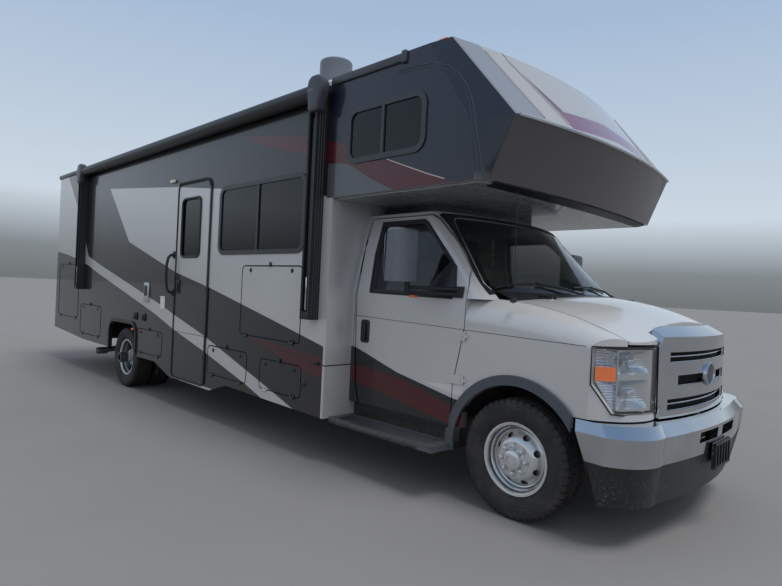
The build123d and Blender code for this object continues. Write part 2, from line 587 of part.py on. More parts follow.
# Coach windows: black frames with two panes, the dividers standing between them
with BuildPart() as window_frames:
    for side, x0, x1, z0, z1, divider in WINDOWS + CAP_WINDOWS:
        y_out = side * (COACH_HALF_W + FRAME_PROUD)
        depth = FRAME_PROUD
        side_panel(x0 - 12, x1 + 12, z0 - 12, z1 + 12, WINDOW_R + 12, y_out, depth)
        side_panel(x0, x1, z0, z1, WINDOW_R, side * COACH_HALF_W, WALL_T - 5)
        side_panel(x0 + FRAME_W, x1 - FRAME_W, z0 + FRAME_W, z1 - FRAME_W, WINDOW_R - FRAME_W, y_out,
                   depth + WALL_T, mode=Mode.SUBTRACT)
        side_panel(divider - 14, divider + 14, z0 + FRAME_W, z1 - FRAME_W, 2, y_out, depth + WALL_T - 5)
finish(window_frames, "window_frames")

with BuildPart() as window_glass:
    for side, x0, x1, z0, z1, divider in WINDOWS + CAP_WINDOWS:
        side_panel(x0 + FRAME_W, x1 - FRAME_W, z0 + FRAME_W, z1 - FRAME_W, WINDOW_R - FRAME_W,
                   side * (COACH_HALF_W - 2), GLASS_T)
        block(divider - 14, divider + 14, side * COACH_HALF_W - 30, side * COACH_HALF_W + 30, z0, z1,
              mode=Mode.SUBTRACT)
finish(window_glass, "window_glass")

# Cab: one outer form, from which the cell, doors and windscreen are parted
CAB_REAR = COACH_FRONT
FIREWALL = -400.0
BELT_PLAN = (CAB_BELT, CAB_HALF_W, -300.0, 35.0)
ROOF_PLAN = (CAB_ROOF, CAB_ROOF_HALF_W, -830.0, -650.0)


def greenhouse_plan(height, half_w, corner, nose, inset, radius):
    """A plan outline of the glazed upper cab."""
    with BuildSketch(Plane.XY.offset(height)) as plan:
        with BuildLine() as edge:
            x0, x1, x2 = station(CAB_REAR), station(corner - inset), station(nose - inset)
            y = half_w - inset
            Polyline((x1, -y), (x0, -y), (x0, y), (x1, y))
            ThreePointArc((x1, y), (x2, 0), (x1, -y))
        make_face()
        fillet(plan.vertices().sort_by(Axis.X)[-2:], radius)
    return plan.sketch


def greenhouse(inset, bottom, top, mode=Mode.ADD):
    """The glazed upper cab, drawn in by inset."""
    belt = greenhouse_plan(bottom, *BELT_PLAN[1:], inset, 90)
    roof = greenhouse_plan(top, *ROOF_PLAN[1:], inset, 90)
    loft([belt, roof], ruled=True, mode=mode)


# The door's outline in side view, (station, height)
DOOR_OUTLINE = [(-1412, CAB_SILL), (-500, CAB_SILL), (-492, 771), (-415, 1143), (-408, 1423), (-445, 1538),
                (-606, 1726), (-790, 1905), (-850, 1935), (-1470, 1935), (-1496, 1700), (-1484, 1331),
                (-1484, 1156), (-1458, 637)]
PANE_OUTLINE = [(-1337, 1352), (-531, 1340), (-504, 1368), (-541, 1551), (-880, 1880), (-917, 1900),
                (-1346, 1900), (-1362, 1640)]
SCREEN = [(-905, 1392), (905, 1392), (752, 1922), (-752, 1922)]


def grown(points, amount, rear_extra=0):
    """An outline moved outwards from its middle by about amount, and further at its rear edge."""
    mid_x = sum(x for x, z in points) / len(points)
    mid_z = sum(z for x, z in points) / len(points)
    return [(x + (amount if x > mid_x else -amount - rear_extra), z + (amount if z > mid_z else -amount))
            for x, z in points]


def screen_prism(margin, mode):
    """The windscreen's opening seen from the front."""
    with BuildSketch(Plane.YZ.offset(station(-1100))) as opening:
        with BuildLine() as edge:
            Polyline(*[(y + (margin if y > 0 else -margin), z + (margin if z > 1600 else -margin))
                       for y, z in SCREEN], close=True)
        make_face()
        fillet(opening.vertices(), 60 + margin)
    extrude(opening.sketch, amount=1500, mode=mode)


with BuildPart() as cab_body:
    block(CAB_REAR, FIREWALL, -CAB_HALF_W, CAB_HALF_W, CAB_SILL, CAB_BELT)
    greenhouse(0, CAB_BELT, CAB_ROOF)
    block(CAB_REAR, FIREWALL - 30, -CAB_HALF_W + CAB_SHELL, CAB_HALF_W - CAB_SHELL, CAB_FLOOR, CAB_BELT + 60,
          mode=Mode.SUBTRACT)
    block(CAB_REAR, FIREWALL, -CAB_HALF_W + CAB_SHELL, CAB_HALF_W - CAB_SHELL, CAB_SILL,
          CAB_FLOOR - CAB_FLOOR_T, mode=Mode.SUBTRACT)
    greenhouse(CAB_SHELL, CAB_BELT + 30, CAB_ROOF - 40, mode=Mode.SUBTRACT)
    for side in (-1, 1):
        side_outline(grown(DOOR_OUTLINE, CAB_GAP, 6), side * (CAB_HALF_W + 30), 290, mode=Mode.SUBTRACT)
    screen_prism(0, Mode.SUBTRACT)
    for side in (-1, 1):
        block(HOOD_HINGE[0] - 42, 40, *sorted((side * (HOOD_HINGE[1] - 45), side * (HOOD_HINGE[1] + 45))),
              CAB_BELT - 10, HOOD_HINGE[2] + 4, mode=Mode.SUBTRACT)
    floor_half_w = CAB_HALF_W - CAB_SHELL - 12
    block(CAB_REAR, FIREWALL, -floor_half_w, floor_half_w, CAB_FLOOR - CAB_FLOOR_T, CAB_FLOOR)
    block(FIREWALL - 30, FIREWALL, -floor_half_w, floor_half_w, CAB_FLOOR, CAB_BELT)
finish(cab_body, "cab_body")

GLASS_SHELL = 7.0
with BuildPart() as windscreen:
    greenhouse(1.0, CAB_BELT, CAB_ROOF)
    greenhouse(1.0 + GLASS_SHELL, CAB_BELT - 1, CAB_ROOF + 1, mode=Mode.SUBTRACT)
    screen_prism(0, Mode.INTERSECT)
finish(windscreen, "windscreen")

PANE_SET = 12.0
for side, tag in ((-1, "right"), (1, "left")):
    y_far = side * (CAB_HALF_W + 30)
    with BuildPart() as cab_door:
        block(CAB_REAR, FIREWALL, -CAB_HALF_W, CAB_HALF_W, CAB_SILL, CAB_BELT)
        greenhouse(0, CAB_BELT, CAB_ROOF)
        block(CAB_REAR, FIREWALL, -CAB_HALF_W + CAB_SHELL, CAB_HALF_W - CAB_SHELL, CAB_SILL, CAB_BELT + 10,
              mode=Mode.SUBTRACT)
        greenhouse(CAB_SHELL - 12, CAB_BELT, CAB_ROOF, mode=Mode.SUBTRACT)
        side_outline(DOOR_OUTLINE, y_far, CAB_HALF_W, mode=Mode.INTERSECT)
        side_outline(PANE_OUTLINE, y_far, CAB_HALF_W, mode=Mode.SUBTRACT)
        x, y = CAB_HINGE
        for z, rear in CAB_HINGE_Z.items():
            block(rear, rear + 20, *span(side, CAB_HALF_W, y - CAB_HALF_W), z - HINGE_HALF, z + HINGE_HALF)
            block(rear, x - 11, *span(side, y - 6, 6), z - HINGE_HALF, z + HINGE_HALF)
            for end in (-1, 1):
                ends = sorted((z + end * (EYE_HALF + EYE_GAP), z + end * HINGE_HALF))
                block(x - 12, x, *span(side, y - 6, 6), *ends)
            hinge_pin((station(x), side * y, z), (0, 0, 1))
    finish(cab_door, f"cab_door_{tag}")
    with BuildPart() as cab_glass:
        greenhouse(PANE_SET, CAB_BELT, CAB_ROOF)
        greenhouse(PANE_SET + GLASS_SHELL, CAB_BELT - 1, CAB_ROOF + 1, mode=Mode.SUBTRACT)
        side_outline(PANE_OUTLINE, y_far, CAB_HALF_W, mode=Mode.INTERSECT)
    finish(cab_glass, f"cab_glass_{tag}")
    with BuildPart() as mirror:
        head_y = side * 1200.0
        with BuildSketch(Plane.XY.offset(1434)) as low:
            with Locations((station(-810), head_y)):
                RectangleRounded(140, 250, 50)
        extrude(amount=364, taper=1.5)
        fillet(mirror.edges().group_by(Axis.Z)[-1], 25)
        block(-500, -436, *span(side, CAB_HALF_W - 60, 74), CAB_BELT + 2, 1418)
        for z in (1364, 1398):
            tube_between((station(-468), side * (CAB_HALF_W + 5), z), (station(-790), side * 1160, z), 13)
        tube_between((station(-790), side * 1160, 1350), (station(-790), side * 1160, 1440), 20)
        greenhouse(0, CAB_BELT, CAB_ROOF, mode=Mode.SUBTRACT)
    finish(mirror, f"mirror_{tag}")


# Front clip: the form of hood, wings and lamp corners, lofted along the vehicle and trimmed in plan
# Sections: station, crown height, hood edge half width and height, shoulder half width and height
CLIP_SECTIONS = [(-430.0, 1405.0, 905.0, 1345.0, 992.0, 1165.0), (150.0, 1388.0, 885.0, 1300.0, 992.0, 1135.0),
                 (480.0, 1318.0, 868.0, 1208.0, 985.0, 1095.0), (800.0, 1150.0, 850.0, 1060.0, 965.0, 1000.0)]
CLIP_BOTTOM = 640.0
CLIP_FRONT = (420.0, 690.0, 770.0)


def clip_section(x, crown, edge_y, edge_z, shoulder_y, shoulder_z, inset):
    """A cross-section of the front clip: crowned top, rounded shoulders, upright sides."""
    ey, ez = edge_y - inset, edge_z - inset
    sy, sz = shoulder_y - inset, shoulder_z - inset
    with BuildSketch(Plane.YZ.offset(station(x))) as section:
        with BuildLine() as edge:
            ThreePointArc((-ey, ez), (0, crown - inset), (ey, ez))
            ThreePointArc((ey, ez), ((ey + sy) / 2 + 22, (ez + sz) / 2 + 22), (sy, sz))
            Polyline((sy, sz), (sy, CLIP_BOTTOM), (-sy, CLIP_BOTTOM), (-sy, sz))
            ThreePointArc((-sy, sz), (-(ey + sy) / 2 - 22, (ez + sz) / 2 + 22), (-ey, ez))
        make_face()
    return section.sketch


def clip_form(inset):
    """The solid form of the front clip, drawn in by inset."""
    with BuildPart() as form:
        loft([clip_section(*row, inset) for row in CLIP_SECTIONS])
        with BuildSketch(Plane.XY.offset(CLIP_BOTTOM)) as plan:
            with BuildLine() as edge:
                corner, lamp, nose = (station(v - inset) for v in CLIP_FRONT)
                rear = station(CLIP_SECTIONS[0][0] - 10)
                y, lamp_y = 1000.0 - inset, LAMP_INNER_Y - inset * 0.3
                Polyline((corner, -y), (rear, -y), (rear, y), (corner, y))
                ThreePointArc((corner, y), (station(610 - inset), y - 120), (lamp, lamp_y))
                ThreePointArc((lamp, lamp_y), (nose, 0), (lamp, -lamp_y))
                ThreePointArc((lamp, -lamp_y), (station(610 - inset), -y + 120), (corner, -y))
            make_face()
        extrude(amount=900, mode=Mode.INTERSECT)
    return form.part


CLIP_OUTER = clip_form(0)
CLIP_INNER = clip_form(CLIP_T)
HOOD_REAR = (-105.0, 66.0)
HOOD_FRONT = 632.0
LAMP_SIDE = [(478, 1112), (478, 905), (572, 748), (900, 735), (900, 1125)]


def hood_plan(grow, low, high, mode):
    """The hood's outline seen from above, grown by its shut gap."""
    with BuildSketch(Plane.XY.offset(low)) as plan:
        with BuildLine() as edge:
            rear, mid, front = station(HOOD_REAR[0] - grow), station(HOOD_REAR[1] - grow), station(HOOD_FRONT + grow)
            y = HOOD_HALF_W + grow
            ThreePointArc((rear, -y), (mid, 0), (rear, y))
            ear, inner = station(760 + grow), GRILLE_HALF_W + 8 - grow
            Polyline((rear, y), (ear, y - 12), (ear, inner), (front, inner), (front, -inner), (ear, -inner),
                     (ear, -y + 12), (rear, -y))
        make_face()
    extrude(plan.sketch, amount=high - low, mode=mode)


def lamp_cut(side, grow, mode):
    """The headlamp's opening, cut from the side."""
    points = [(x, z + (grow if z > 1000 else -grow)) for x, z in LAMP_SIDE]
    inner, outer = side * (LAMP_INNER_Y - grow), side * 1100.0
    side_outline(points, outer, abs(outer - inner), mode=mode)


with BuildPart() as front_wings:
    add(CLIP_OUTER)
    add(CLIP_INNER, mode=Mode.SUBTRACT)
    hood_plan(CAB_GAP, 1000, 1600, Mode.SUBTRACT)
    for side in (-1, 1):
        lamp_cut(side, 4, Mode.SUBTRACT)
        side_outline(grown(DOOR_OUTLINE, CAB_GAP), side * (CAB_HALF_W + 60), 160, mode=Mode.SUBTRACT)
    block(300, 900, -GRILLE_HALF_W - 6, GRILLE_HALF_W + 6, 0, GRILLE_TOP + 60, mode=Mode.SUBTRACT)
    block(372, 900, -1100, 1100, 0, 706, mode=Mode.SUBTRACT)
    with Locations(Location((station(0), 0, TYRE_R), (90, 0, 0))):
        Cylinder(455, 3000, mode=Mode.SUBTRACT)
    greenhouse(0, CAB_BELT, CAB_ROOF, mode=Mode.SUBTRACT)
    block(CAB_REAR, FIREWALL, -CAB_HALF_W, CAB_HALF_W, CAB_SILL, CAB_BELT, mode=Mode.SUBTRACT)
    for side in (-1, 1):
        x, y = CAB_HINGE
        for z in CAB_HINGE_Z:
            block(x, x + 24, *span(side, CAB_HALF_W - 10, y - CAB_HALF_W + 10), z - EYE_HALF, z + EYE_HALF)
            hinge_eye((station(x), side * y, z), (0, 0, 1))
        x, y, z = HOOD_HINGE
        block(x - 7, x + 7, side * y - EYE_HALF, side * y + EYE_HALF, z - 45, z)
        hinge_eye((station(x), side * y, z), (0, 1, 0))
finish(front_wings, "front_wings")

with BuildPart() as hood:
    add(CLIP_OUTER)
    add(CLIP_INNER, mode=Mode.SUBTRACT)
    hood_plan(0, 1120, 1600, Mode.INTERSECT)
    block(600, 900, -1000, 1000, 1000, LAMP_SIDE[-1][1] + CAB_GAP, mode=Mode.SUBTRACT)
    x, y_hinge, z = HOOD_HINGE
    for side in (-1, 1):
        for end in (-1, 1):
            y = side * y_hinge
            ends = sorted((y + end * (EYE_HALF + EYE_GAP), y + end * HINGE_HALF))
            block(x, 30, *ends, z - 6, z)
            block(10, 30, *ends, z - 48, z)
        hinge_pin((station(x), side * y_hinge, z), (0, 1, 0))
finish(hood, "hood")

def lamp_room():
    """The space of both headlamps."""
    with BuildPart() as room:
        for side in (-1, 1):
            lamp_cut(side, 0, Mode.ADD)
    return room.part


with BuildPart() as headlamps:
    add(CLIP_OUTER)
    add(clip_form(70), mode=Mode.SUBTRACT)
    add(lamp_room(), mode=Mode.INTERSECT)
finish(headlamps, "headlamps")

# Grille: a chrome surround with bars and a sloping cap, the slots open to the radiator
with BuildPart() as grille:
    add(clip_form(-14))
    add(clip_form(60), mode=Mode.SUBTRACT)
    with BuildSketch(Plane.YZ.offset(station(540))) as face:
        with BuildLine() as edge:
            Polyline((-606, 708), (606, 708), (GRILLE_HALF_W, 1120), (560, GRILLE_TOP), (-560, GRILLE_TOP),
                     (-GRILLE_HALF_W, 1120), close=True)
        make_face()
    extrude(amount=500, mode=Mode.INTERSECT)
    hood_plan(CAB_GAP, 1100, 1600, Mode.SUBTRACT)
    for z0, z1, half in ((1030, 1088, 520), (890, 950, 430), (748, 815, 530)):
        block(400, 900, -half, half, z0, z1, mode=Mode.SUBTRACT)
    with Locations(Location((station(760), 0, 930), (0, 90, 0))):
        Cylinder(72, 60)
    for side in (-1, 1):
        block(500, 670, min(side * 395, side * RAIL_Y), max(side * 395, side * RAIL_Y), RAIL_TOP, RAIL_TOP + 40)
finish(grille, "grille")

# Front bumper and the valance under it
BUMPER_PLAN = (390.0, 600.0, 800.0, 872.0)
VALANCE_BOTTOM = 245.0


def bumper_plan(height, inset, rear):
    """The bumper's plan outline at a height, drawn in by inset."""
    with BuildSketch(Plane.XY.offset(height)) as plan:
        with BuildLine() as edge:
            end, bend, front, nose = (station(v - inset) for v in BUMPER_PLAN)
            y = 1042.0 - inset
            Polyline((bend, -y), (station(rear), -y + 12), (station(rear), y - 12), (bend, y))
            ThreePointArc((bend, y), (station(735 - inset), y - 85), (front, y - 300))
            ThreePointArc((front, y - 300), (nose, 0), (front, -y + 300))
            ThreePointArc((front, -y + 300), (station(735 - inset), -y + 85), (bend, -y))
        make_face()
    return plan.sketch


with BuildPart() as front_bumper:
    loft([bumper_plan(485, 12, 474), bumper_plan(640, 0, 420)], ruled=True)
    loft([bumper_plan(640, 0, 420), bumper_plan(700, 40, 400)], ruled=True)
    loft([bumper_plan(484, 52, 300), bumper_plan(676, 52, 300)], ruled=True, mode=Mode.SUBTRACT)
    loft([bumper_plan(600, 110, 300), bumper_plan(701, 110, 300)], ruled=True, mode=Mode.SUBTRACT)
    for side in (-1, 1):
        block(500, 950, min(side * 45, side * 333), max(side * 45, side * 333), 558, 622, mode=Mode.SUBTRACT)
        block(RAIL_FRONT, 830, min(side * (RAIL_Y - 60), side * RAIL_Y), max(side * (RAIL_Y - 60), side * RAIL_Y),
              RAIL_BOTTOM + 20, RAIL_BOTTOM + 100)
finish(front_bumper, "front_bumper")

with BuildPart() as front_valance:
    loft([bumper_plan(VALANCE_BOTTOM, 62, 528), bumper_plan(485, 16, 484)], ruled=True)
    loft([bumper_plan(VALANCE_BOTTOM, 96, 300), bumper_plan(485, 56, 300)], ruled=True, mode=Mode.SUBTRACT)
    with Locations((station(875), 0, 455)):
        Box(14, 310, 160)
    with Locations((station(840), 0, 440)):
        Box(60, 160, 60)
    with BuildSketch(Plane.YZ.offset(station(840))) as plate_holes:
        with Locations((-89, 505), (89, 505)):
            Circle(3.5)
    extrude(amount=100, mode=Mode.SUBTRACT)
finish(front_valance, "front_valance")

# Wheel-arch flares, front and rear, the cab steps moulded on to the front pair, and in front the
# liners: a curved shell over each tyre and a splash panel behind it
FLARE_R = 455.0
FLARE_W = 62.0
LINER_T = 6.0
with BuildPart() as flares_and_steps:
    for side in (-1, 1):
        y_out = side * (CAB_HALF_W + 24)
        with BuildSketch(Plane.XZ.offset(-y_out)) as ring:
            with Locations((station(0), TYRE_R)):
                Circle(FLARE_R + FLARE_W)
                Circle(FLARE_R, mode=Mode.SUBTRACT)
            with Locations((station(0), TYRE_R - 400)):
                Rectangle(2000, 800, mode=Mode.SUBTRACT)
            with Locations((station(700), TYRE_R + 100)):
                Rectangle(640, 2000, mode=Mode.SUBTRACT)
        extrude(amount=side * 19.5)
        side_outline(grown(DOOR_OUTLINE, 12), side * (CAB_HALF_W + 60), 66, mode=Mode.SUBTRACT)
        block(-FLARE_R - FLARE_W, -FLARE_R, min(side * 930, y_out), max(side * 930, y_out), 330, TYRE_R + 2)
        block(COACH_FRONT + 6, -FLARE_R - 20, min(side * 930, side * 1195), max(side * 930, side * 1195), 330, 372)
        block(COACH_FRONT + 60, -FLARE_R - 90, min(side * 960, side * 1165), max(side * 960, side * 1165), 350, 372,
              mode=Mode.SUBTRACT)
        block(-1530, -FLARE_R - 60, min(side * 918, side * 932), max(side * 918, side * 932), 372, CAB_SILL)
        y_out = side * (COACH_HALF_W + 16)
        arch = ARCH_X - FRONT_AXLE_X
        side_panel(arch - ARCH_HALF - 25, arch + ARCH_HALF + 25, 200, ARCH_TOP + 40, 175, y_out, 16)
        side_panel(arch - ARCH_HALF, arch + ARCH_HALF, 100, ARCH_TOP, 150, y_out, 60, mode=Mode.SUBTRACT)
        block(arch - 700, arch + 700, min(y_out, side * 1100), max(y_out, side * 1100), 0, 440, mode=Mode.SUBTRACT)
        with BuildSketch(Plane.XZ.offset(-side * 985)) as ring:
            with Locations((station(0), TYRE_R)):
                Circle(FLARE_R)
                Circle(FLARE_R - LINER_T, mode=Mode.SUBTRACT)
            with Locations((station(-700), 0)):
                Rectangle(604, 4000, mode=Mode.SUBTRACT)
            with Locations((station(0), 0)):
                Rectangle(4000, 1180, mode=Mode.SUBTRACT)
            with Locations((station(500), 0)):
                Rectangle(1000, 1420, mode=Mode.SUBTRACT)
        extrude(amount=side * 425)
        block(-470, -460, *span(side, 600, 320), 330, CAB_FLOOR - CAB_FLOOR_T)
finish(flares_and_steps, "flares_and_steps")

# Cab seats: cushion, back and head rest on a pedestal, one pair
with BuildPart() as cab_seats:
    for y in (-480, 480):
        block(-1320, -860, y - 235, y + 235, 960, 1070)
        block(-1240, -920, y - 180, y + 180, CAB_FLOOR, 960)
        with BuildSketch(Plane.XZ.offset(-y + 240)) as back:
            with BuildLine() as edge:
                Polyline((station(-1300), 1040), (station(-1170), 1060), (station(-1260), 1660),
                         (station(-1390), 1640), close=True)
            make_face()
            fillet(back.vertices(), 40)
        extrude(amount=-480)
        block(-1385, -1290, y - 130, y + 130, 1650, 1830)
finish(cab_seats, "cab_seats")

# Dashboard with the engine cover, the steering column and the wheel
with BuildPart() as dashboard:
    block(-700, FIREWALL - 30, -900, 900, 1080, 1330)
    block(-980, FIREWALL - 30, -230, 230, CAB_FLOOR, 1082)
    tube_between((station(-670), 480, 1230), (station(-800), 480, 1290), 30)
    wheel_plane = Plane(origin=(station(-800), 480, 1290), z_dir=(-130, 0, 60))
    with BuildSketch(wheel_plane.offset(-10)) as wheel_rim:
        Circle(195)
        Circle(168, mode=Mode.SUBTRACT)
        Rectangle(340, 30)
    extrude(amount=22)
finish(dashboard, "dashboard")

# Hatch doors, each a rounded panel inside its opening
for name, (side, x0, x1, z0, z1, depth) in HATCHES.items():
    with BuildPart() as hatch:
        side_panel(x0 + GAP, x1 - GAP, z0 + GAP, z1 - GAP, 50 - GAP, side * COACH_HALF_W, HATCH_T)
        for x in hatch_hinges(x0, x1):
            for end in (-1, 1):
                ends = sorted((x + end * (EYE_HALF + EYE_GAP), x + end * HINGE_HALF))
                block(*ends, *span(side, COACH_HALF_W, HATCH_HINGE_PROUD), z0, z0 + 24)
            hinge_pin((station(x), side * (COACH_HALF_W + HATCH_HINGE_PROUD), z0), (1, 0, 0))
    finish(hatch, f"{name}_door")

# Entry door with its window cut, and the pane
with BuildPart() as entry_door:
    x0, x1, z0, z1 = ENTRY
    side_panel(x0 + GAP, x1 - GAP, z0 + GAP, z1 - GAP, 55, -COACH_HALF_W, WALL_T)
    side_panel(*ENTRY_PANE, 60, -COACH_HALF_W, WALL_T, mode=Mode.SUBTRACT)
    x, proud = ENTRY_HINGE
    for z in ENTRY_HINGE_Z:
        for end in (-1, 1):
            ends = sorted((z + end * (EYE_HALF + EYE_GAP), z + end * HINGE_HALF))
            block(x - 30, x, *span(-1, COACH_HALF_W, proud), *ends)
        hinge_pin((station(x), -COACH_HALF_W - proud, z), (0, 0, 1))
finish(entry_door, "entry_door")
with BuildPart() as entry_glass:
    side_panel(*ENTRY_PANE, 60, -COACH_HALF_W + 10, GLASS_T)
finish(entry_glass, "entry_glass")

# Awning: roller, end caps and two folded arms on the passenger's side
with BuildPart() as awning:
    y_axis = -COACH_HALF_W - AWNING_R
    tube_between((station(AWNING_REAR), y_axis, AWNING_Z), (station(AWNING_FRONT), y_axis, AWNING_Z), AWNING_R)
    for x, foot in ARM_FEET.items():
        block(x - ARM_W / 2, x + ARM_W / 2, -COACH_HALF_W - ARM_DEPTH, -COACH_HALF_W, foot, AWNING_Z)
        block(x - ARM_W / 2 + 22, x + ARM_W / 2 - 22, -COACH_HALF_W - ARM_DEPTH, -COACH_HALF_W - ARM_DEPTH + 40,
              foot + 60, AWNING_Z - 120, mode=Mode.SUBTRACT)
finish(awning, "awning")

# Roof units: air conditioner and two vents
with BuildPart() as roof_units:
    for x, length, width, height in ((-5200.0, 980.0, 680.0, 290.0), (-3300.0, 620.0, 520.0, 120.0),
                                     (-7400.0, 420.0, 420.0, 110.0)):
        with BuildSketch(Plane.XY.offset(ROOF_EDGE_TOP)) as base:
            with Locations((station(x), 0)):
                RectangleRounded(length, width, 60)
        extrude(amount=height + ROOF_CROWN, taper=10)
    roof_slab(mode=Mode.SUBTRACT)
finish(roof_units, "roof_units")

# Aerial dome: a round housing with a softened rim
with BuildPart() as roof_dome:
    tube_between((station(-2000), -900, ROOF_EDGE_TOP), (station(-2000), -900, 3325), 140)
    fillet(roof_dome.edges().sort_by(Axis.Z)[-1], 24)
    roof_slab(mode=Mode.SUBTRACT)
finish(roof_dome, "roof_dome")

# Rear: bumper, ladder and tail lamps
with BuildPart() as rear_bumper:
    with BuildSketch(Plane.XY.offset(RAIL_BOTTOM + 16)) as plan:
        with BuildLine() as edge:
            Polyline((COACH_REAR_X, -1180), (COACH_REAR_X, 1180))
            Polyline((COACH_REAR_X, 1180), (COACH_REAR_X - 70, 1120), (COACH_REAR_X - 110, 900),
                     (COACH_REAR_X - 110, -900), (COACH_REAR_X - 70, -1120), (COACH_REAR_X, -1180))
        make_face()
    extrude(amount=165)
finish(rear_bumper, "rear_bumper")

LADDER_Y = 650.0
LADDER_HALF = 190.0
LADDER_X = COACH_REAR_X - 90.0
LADDER_STILE_R = 14.0
with BuildPart() as roof_ladder:
    for y in (LADDER_Y - LADDER_HALF, LADDER_Y + LADDER_HALF):
        tube_between((LADDER_X, y, 760), (LADDER_X, y, 3080), LADDER_STILE_R)
        tube_between((LADDER_X, y, 3060), (COACH_REAR_X + 60, y, 3060), 12.5)
        tube_between((COACH_REAR_X + 60, y, 3080), (COACH_REAR_X + 60, y, ROOF_EDGE_TOP), LADDER_STILE_R)
        for z in (840.0, 1800.0, 2820.0):
            tube_between((LADDER_X, y, z), (COACH_REAR_X, y, z), 12)
    for k in range(8):
        z = 900 + 290 * k
        tube_between((LADDER_X, LADDER_Y - LADDER_HALF, z), (LADDER_X, LADDER_Y + LADDER_HALF, z), 10.5)
    roof_slab(mode=Mode.SUBTRACT)
finish(roof_ladder, "roof_ladder")

with BuildPart() as tail_lamps:
    for y in (-1120, 1120):
        with BuildSketch(Plane.YZ.offset(COACH_REAR_X)) as lens:
            with Locations((y, 1080)):
                RectangleRounded(110, 330, 30)
        extrude(amount=-28, taper=6)
finish(tail_lamps, "tail_lamps")
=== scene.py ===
# %% [markdown]
# A class C motorhome: a cutaway van cab under a coach body whose nose reaches out over the cab.
# The solid parts come packed as a frame of rigid bodies. This script gives every visible face its
# real finish and adds what is too fine for the solids: tread, seals, latches, lamps and trim.
# Distances are metres. Stations are measured forward from the front axle, which stands at X = 3.890.

import math

import bpy
from mathutils import Matrix, Vector


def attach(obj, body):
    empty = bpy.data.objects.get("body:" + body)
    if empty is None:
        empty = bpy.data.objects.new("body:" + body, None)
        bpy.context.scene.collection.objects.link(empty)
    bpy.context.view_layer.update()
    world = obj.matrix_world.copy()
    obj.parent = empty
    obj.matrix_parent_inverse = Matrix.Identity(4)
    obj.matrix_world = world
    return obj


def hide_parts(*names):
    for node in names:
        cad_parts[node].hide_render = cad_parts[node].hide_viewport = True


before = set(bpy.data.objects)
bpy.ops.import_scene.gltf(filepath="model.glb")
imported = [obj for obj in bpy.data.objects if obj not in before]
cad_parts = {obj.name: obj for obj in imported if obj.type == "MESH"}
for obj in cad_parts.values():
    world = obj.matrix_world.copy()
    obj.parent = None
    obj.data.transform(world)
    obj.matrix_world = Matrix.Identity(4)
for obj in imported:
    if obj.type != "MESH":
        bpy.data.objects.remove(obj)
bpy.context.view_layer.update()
FRONT_AXLE = 3.890
REAR_AXLE = -5.592
AXLE_HEIGHT = 0.370
WALL_Y = 1.254
CAB_Y = 0.990

# %% [markdown]
# Colours are written as the hex tones a paint chart would use. Blender works in linear light,
# so each tone is converted once, here, and used everywhere else by name.


# %% Colours by hex tone
def tone(text):
    """A hex tone as a linear colour with alpha."""
    values = [int(text[i:i + 2], 16) / 255 for i in (1, 3, 5)]
    linear = [v / 12.92 if v <= 0.04045 else ((v + 0.055) / 1.055) ** 2.4 for v in values]
    return (*linear, 1.0)


SILVER = tone("#b7babd")
CHARCOAL = tone("#1c1d20")
MAROON = tone("#470a15")
PALE_LINE = tone("#b9b5ab")
NAVY = tone("#121a2c")
RUBBER_BLACK = tone("#1b1c1e")
print("silver in linear light", [round(v, 3) for v in SILVER])

# %% [markdown]
# Painted graphics need sums such as "height above this line, but only ahead of that one". Written
# as Python expressions they read like the sums themselves, so a small class wraps one socket and
# every operator on it adds the Math node that does the work.


# %% A socket that does arithmetic
class Value:
    """One number that varies over a surface."""

    def __init__(self, finish, socket):
        self.finish = finish
        self.socket = socket

    def math(self, operation, *others, clamp=False):
        settings = {"operation": operation, "use_clamp": clamp}
        return self.finish.node("Math", settings, dict(enumerate((self, *others))))

    def __add__(self, other):
        return self.math("ADD", other)

    def __sub__(self, other):
        return self.math("SUBTRACT", other)

    def __mul__(self, other):
        return self.math("MULTIPLY", other)

    def __truediv__(self, other):
        return self.math("DIVIDE", other)

    def __rsub__(self, other):
        return self.finish.number(other).math("SUBTRACT", self)

    __radd__ = __add__
    __rmul__ = __mul__

    def size(self):
        return self.math("ABSOLUTE")

    def most(self, other):
        return self.math("MAXIMUM", other)

    def above(self, edge, soft=0.002):
        """1 where the value is over the edge, 0 under it, with a soft step between."""
        return ((self - edge) / soft).math("ADD", 0.5, clamp=True)

    def below(self, edge, soft=0.002):
        return 1.0 - self.above(edge, soft)

    def between(self, low, high, soft=0.002):
        return self.above(low, soft) * self.below(high, soft)


# %% [markdown]
# A finish is a material and the nodes in it. One method adds any node: first its settings, then
# the values or links of its sockets. Only what changes over the surface is linked; everything
# that is the same all over is set on the shader itself.


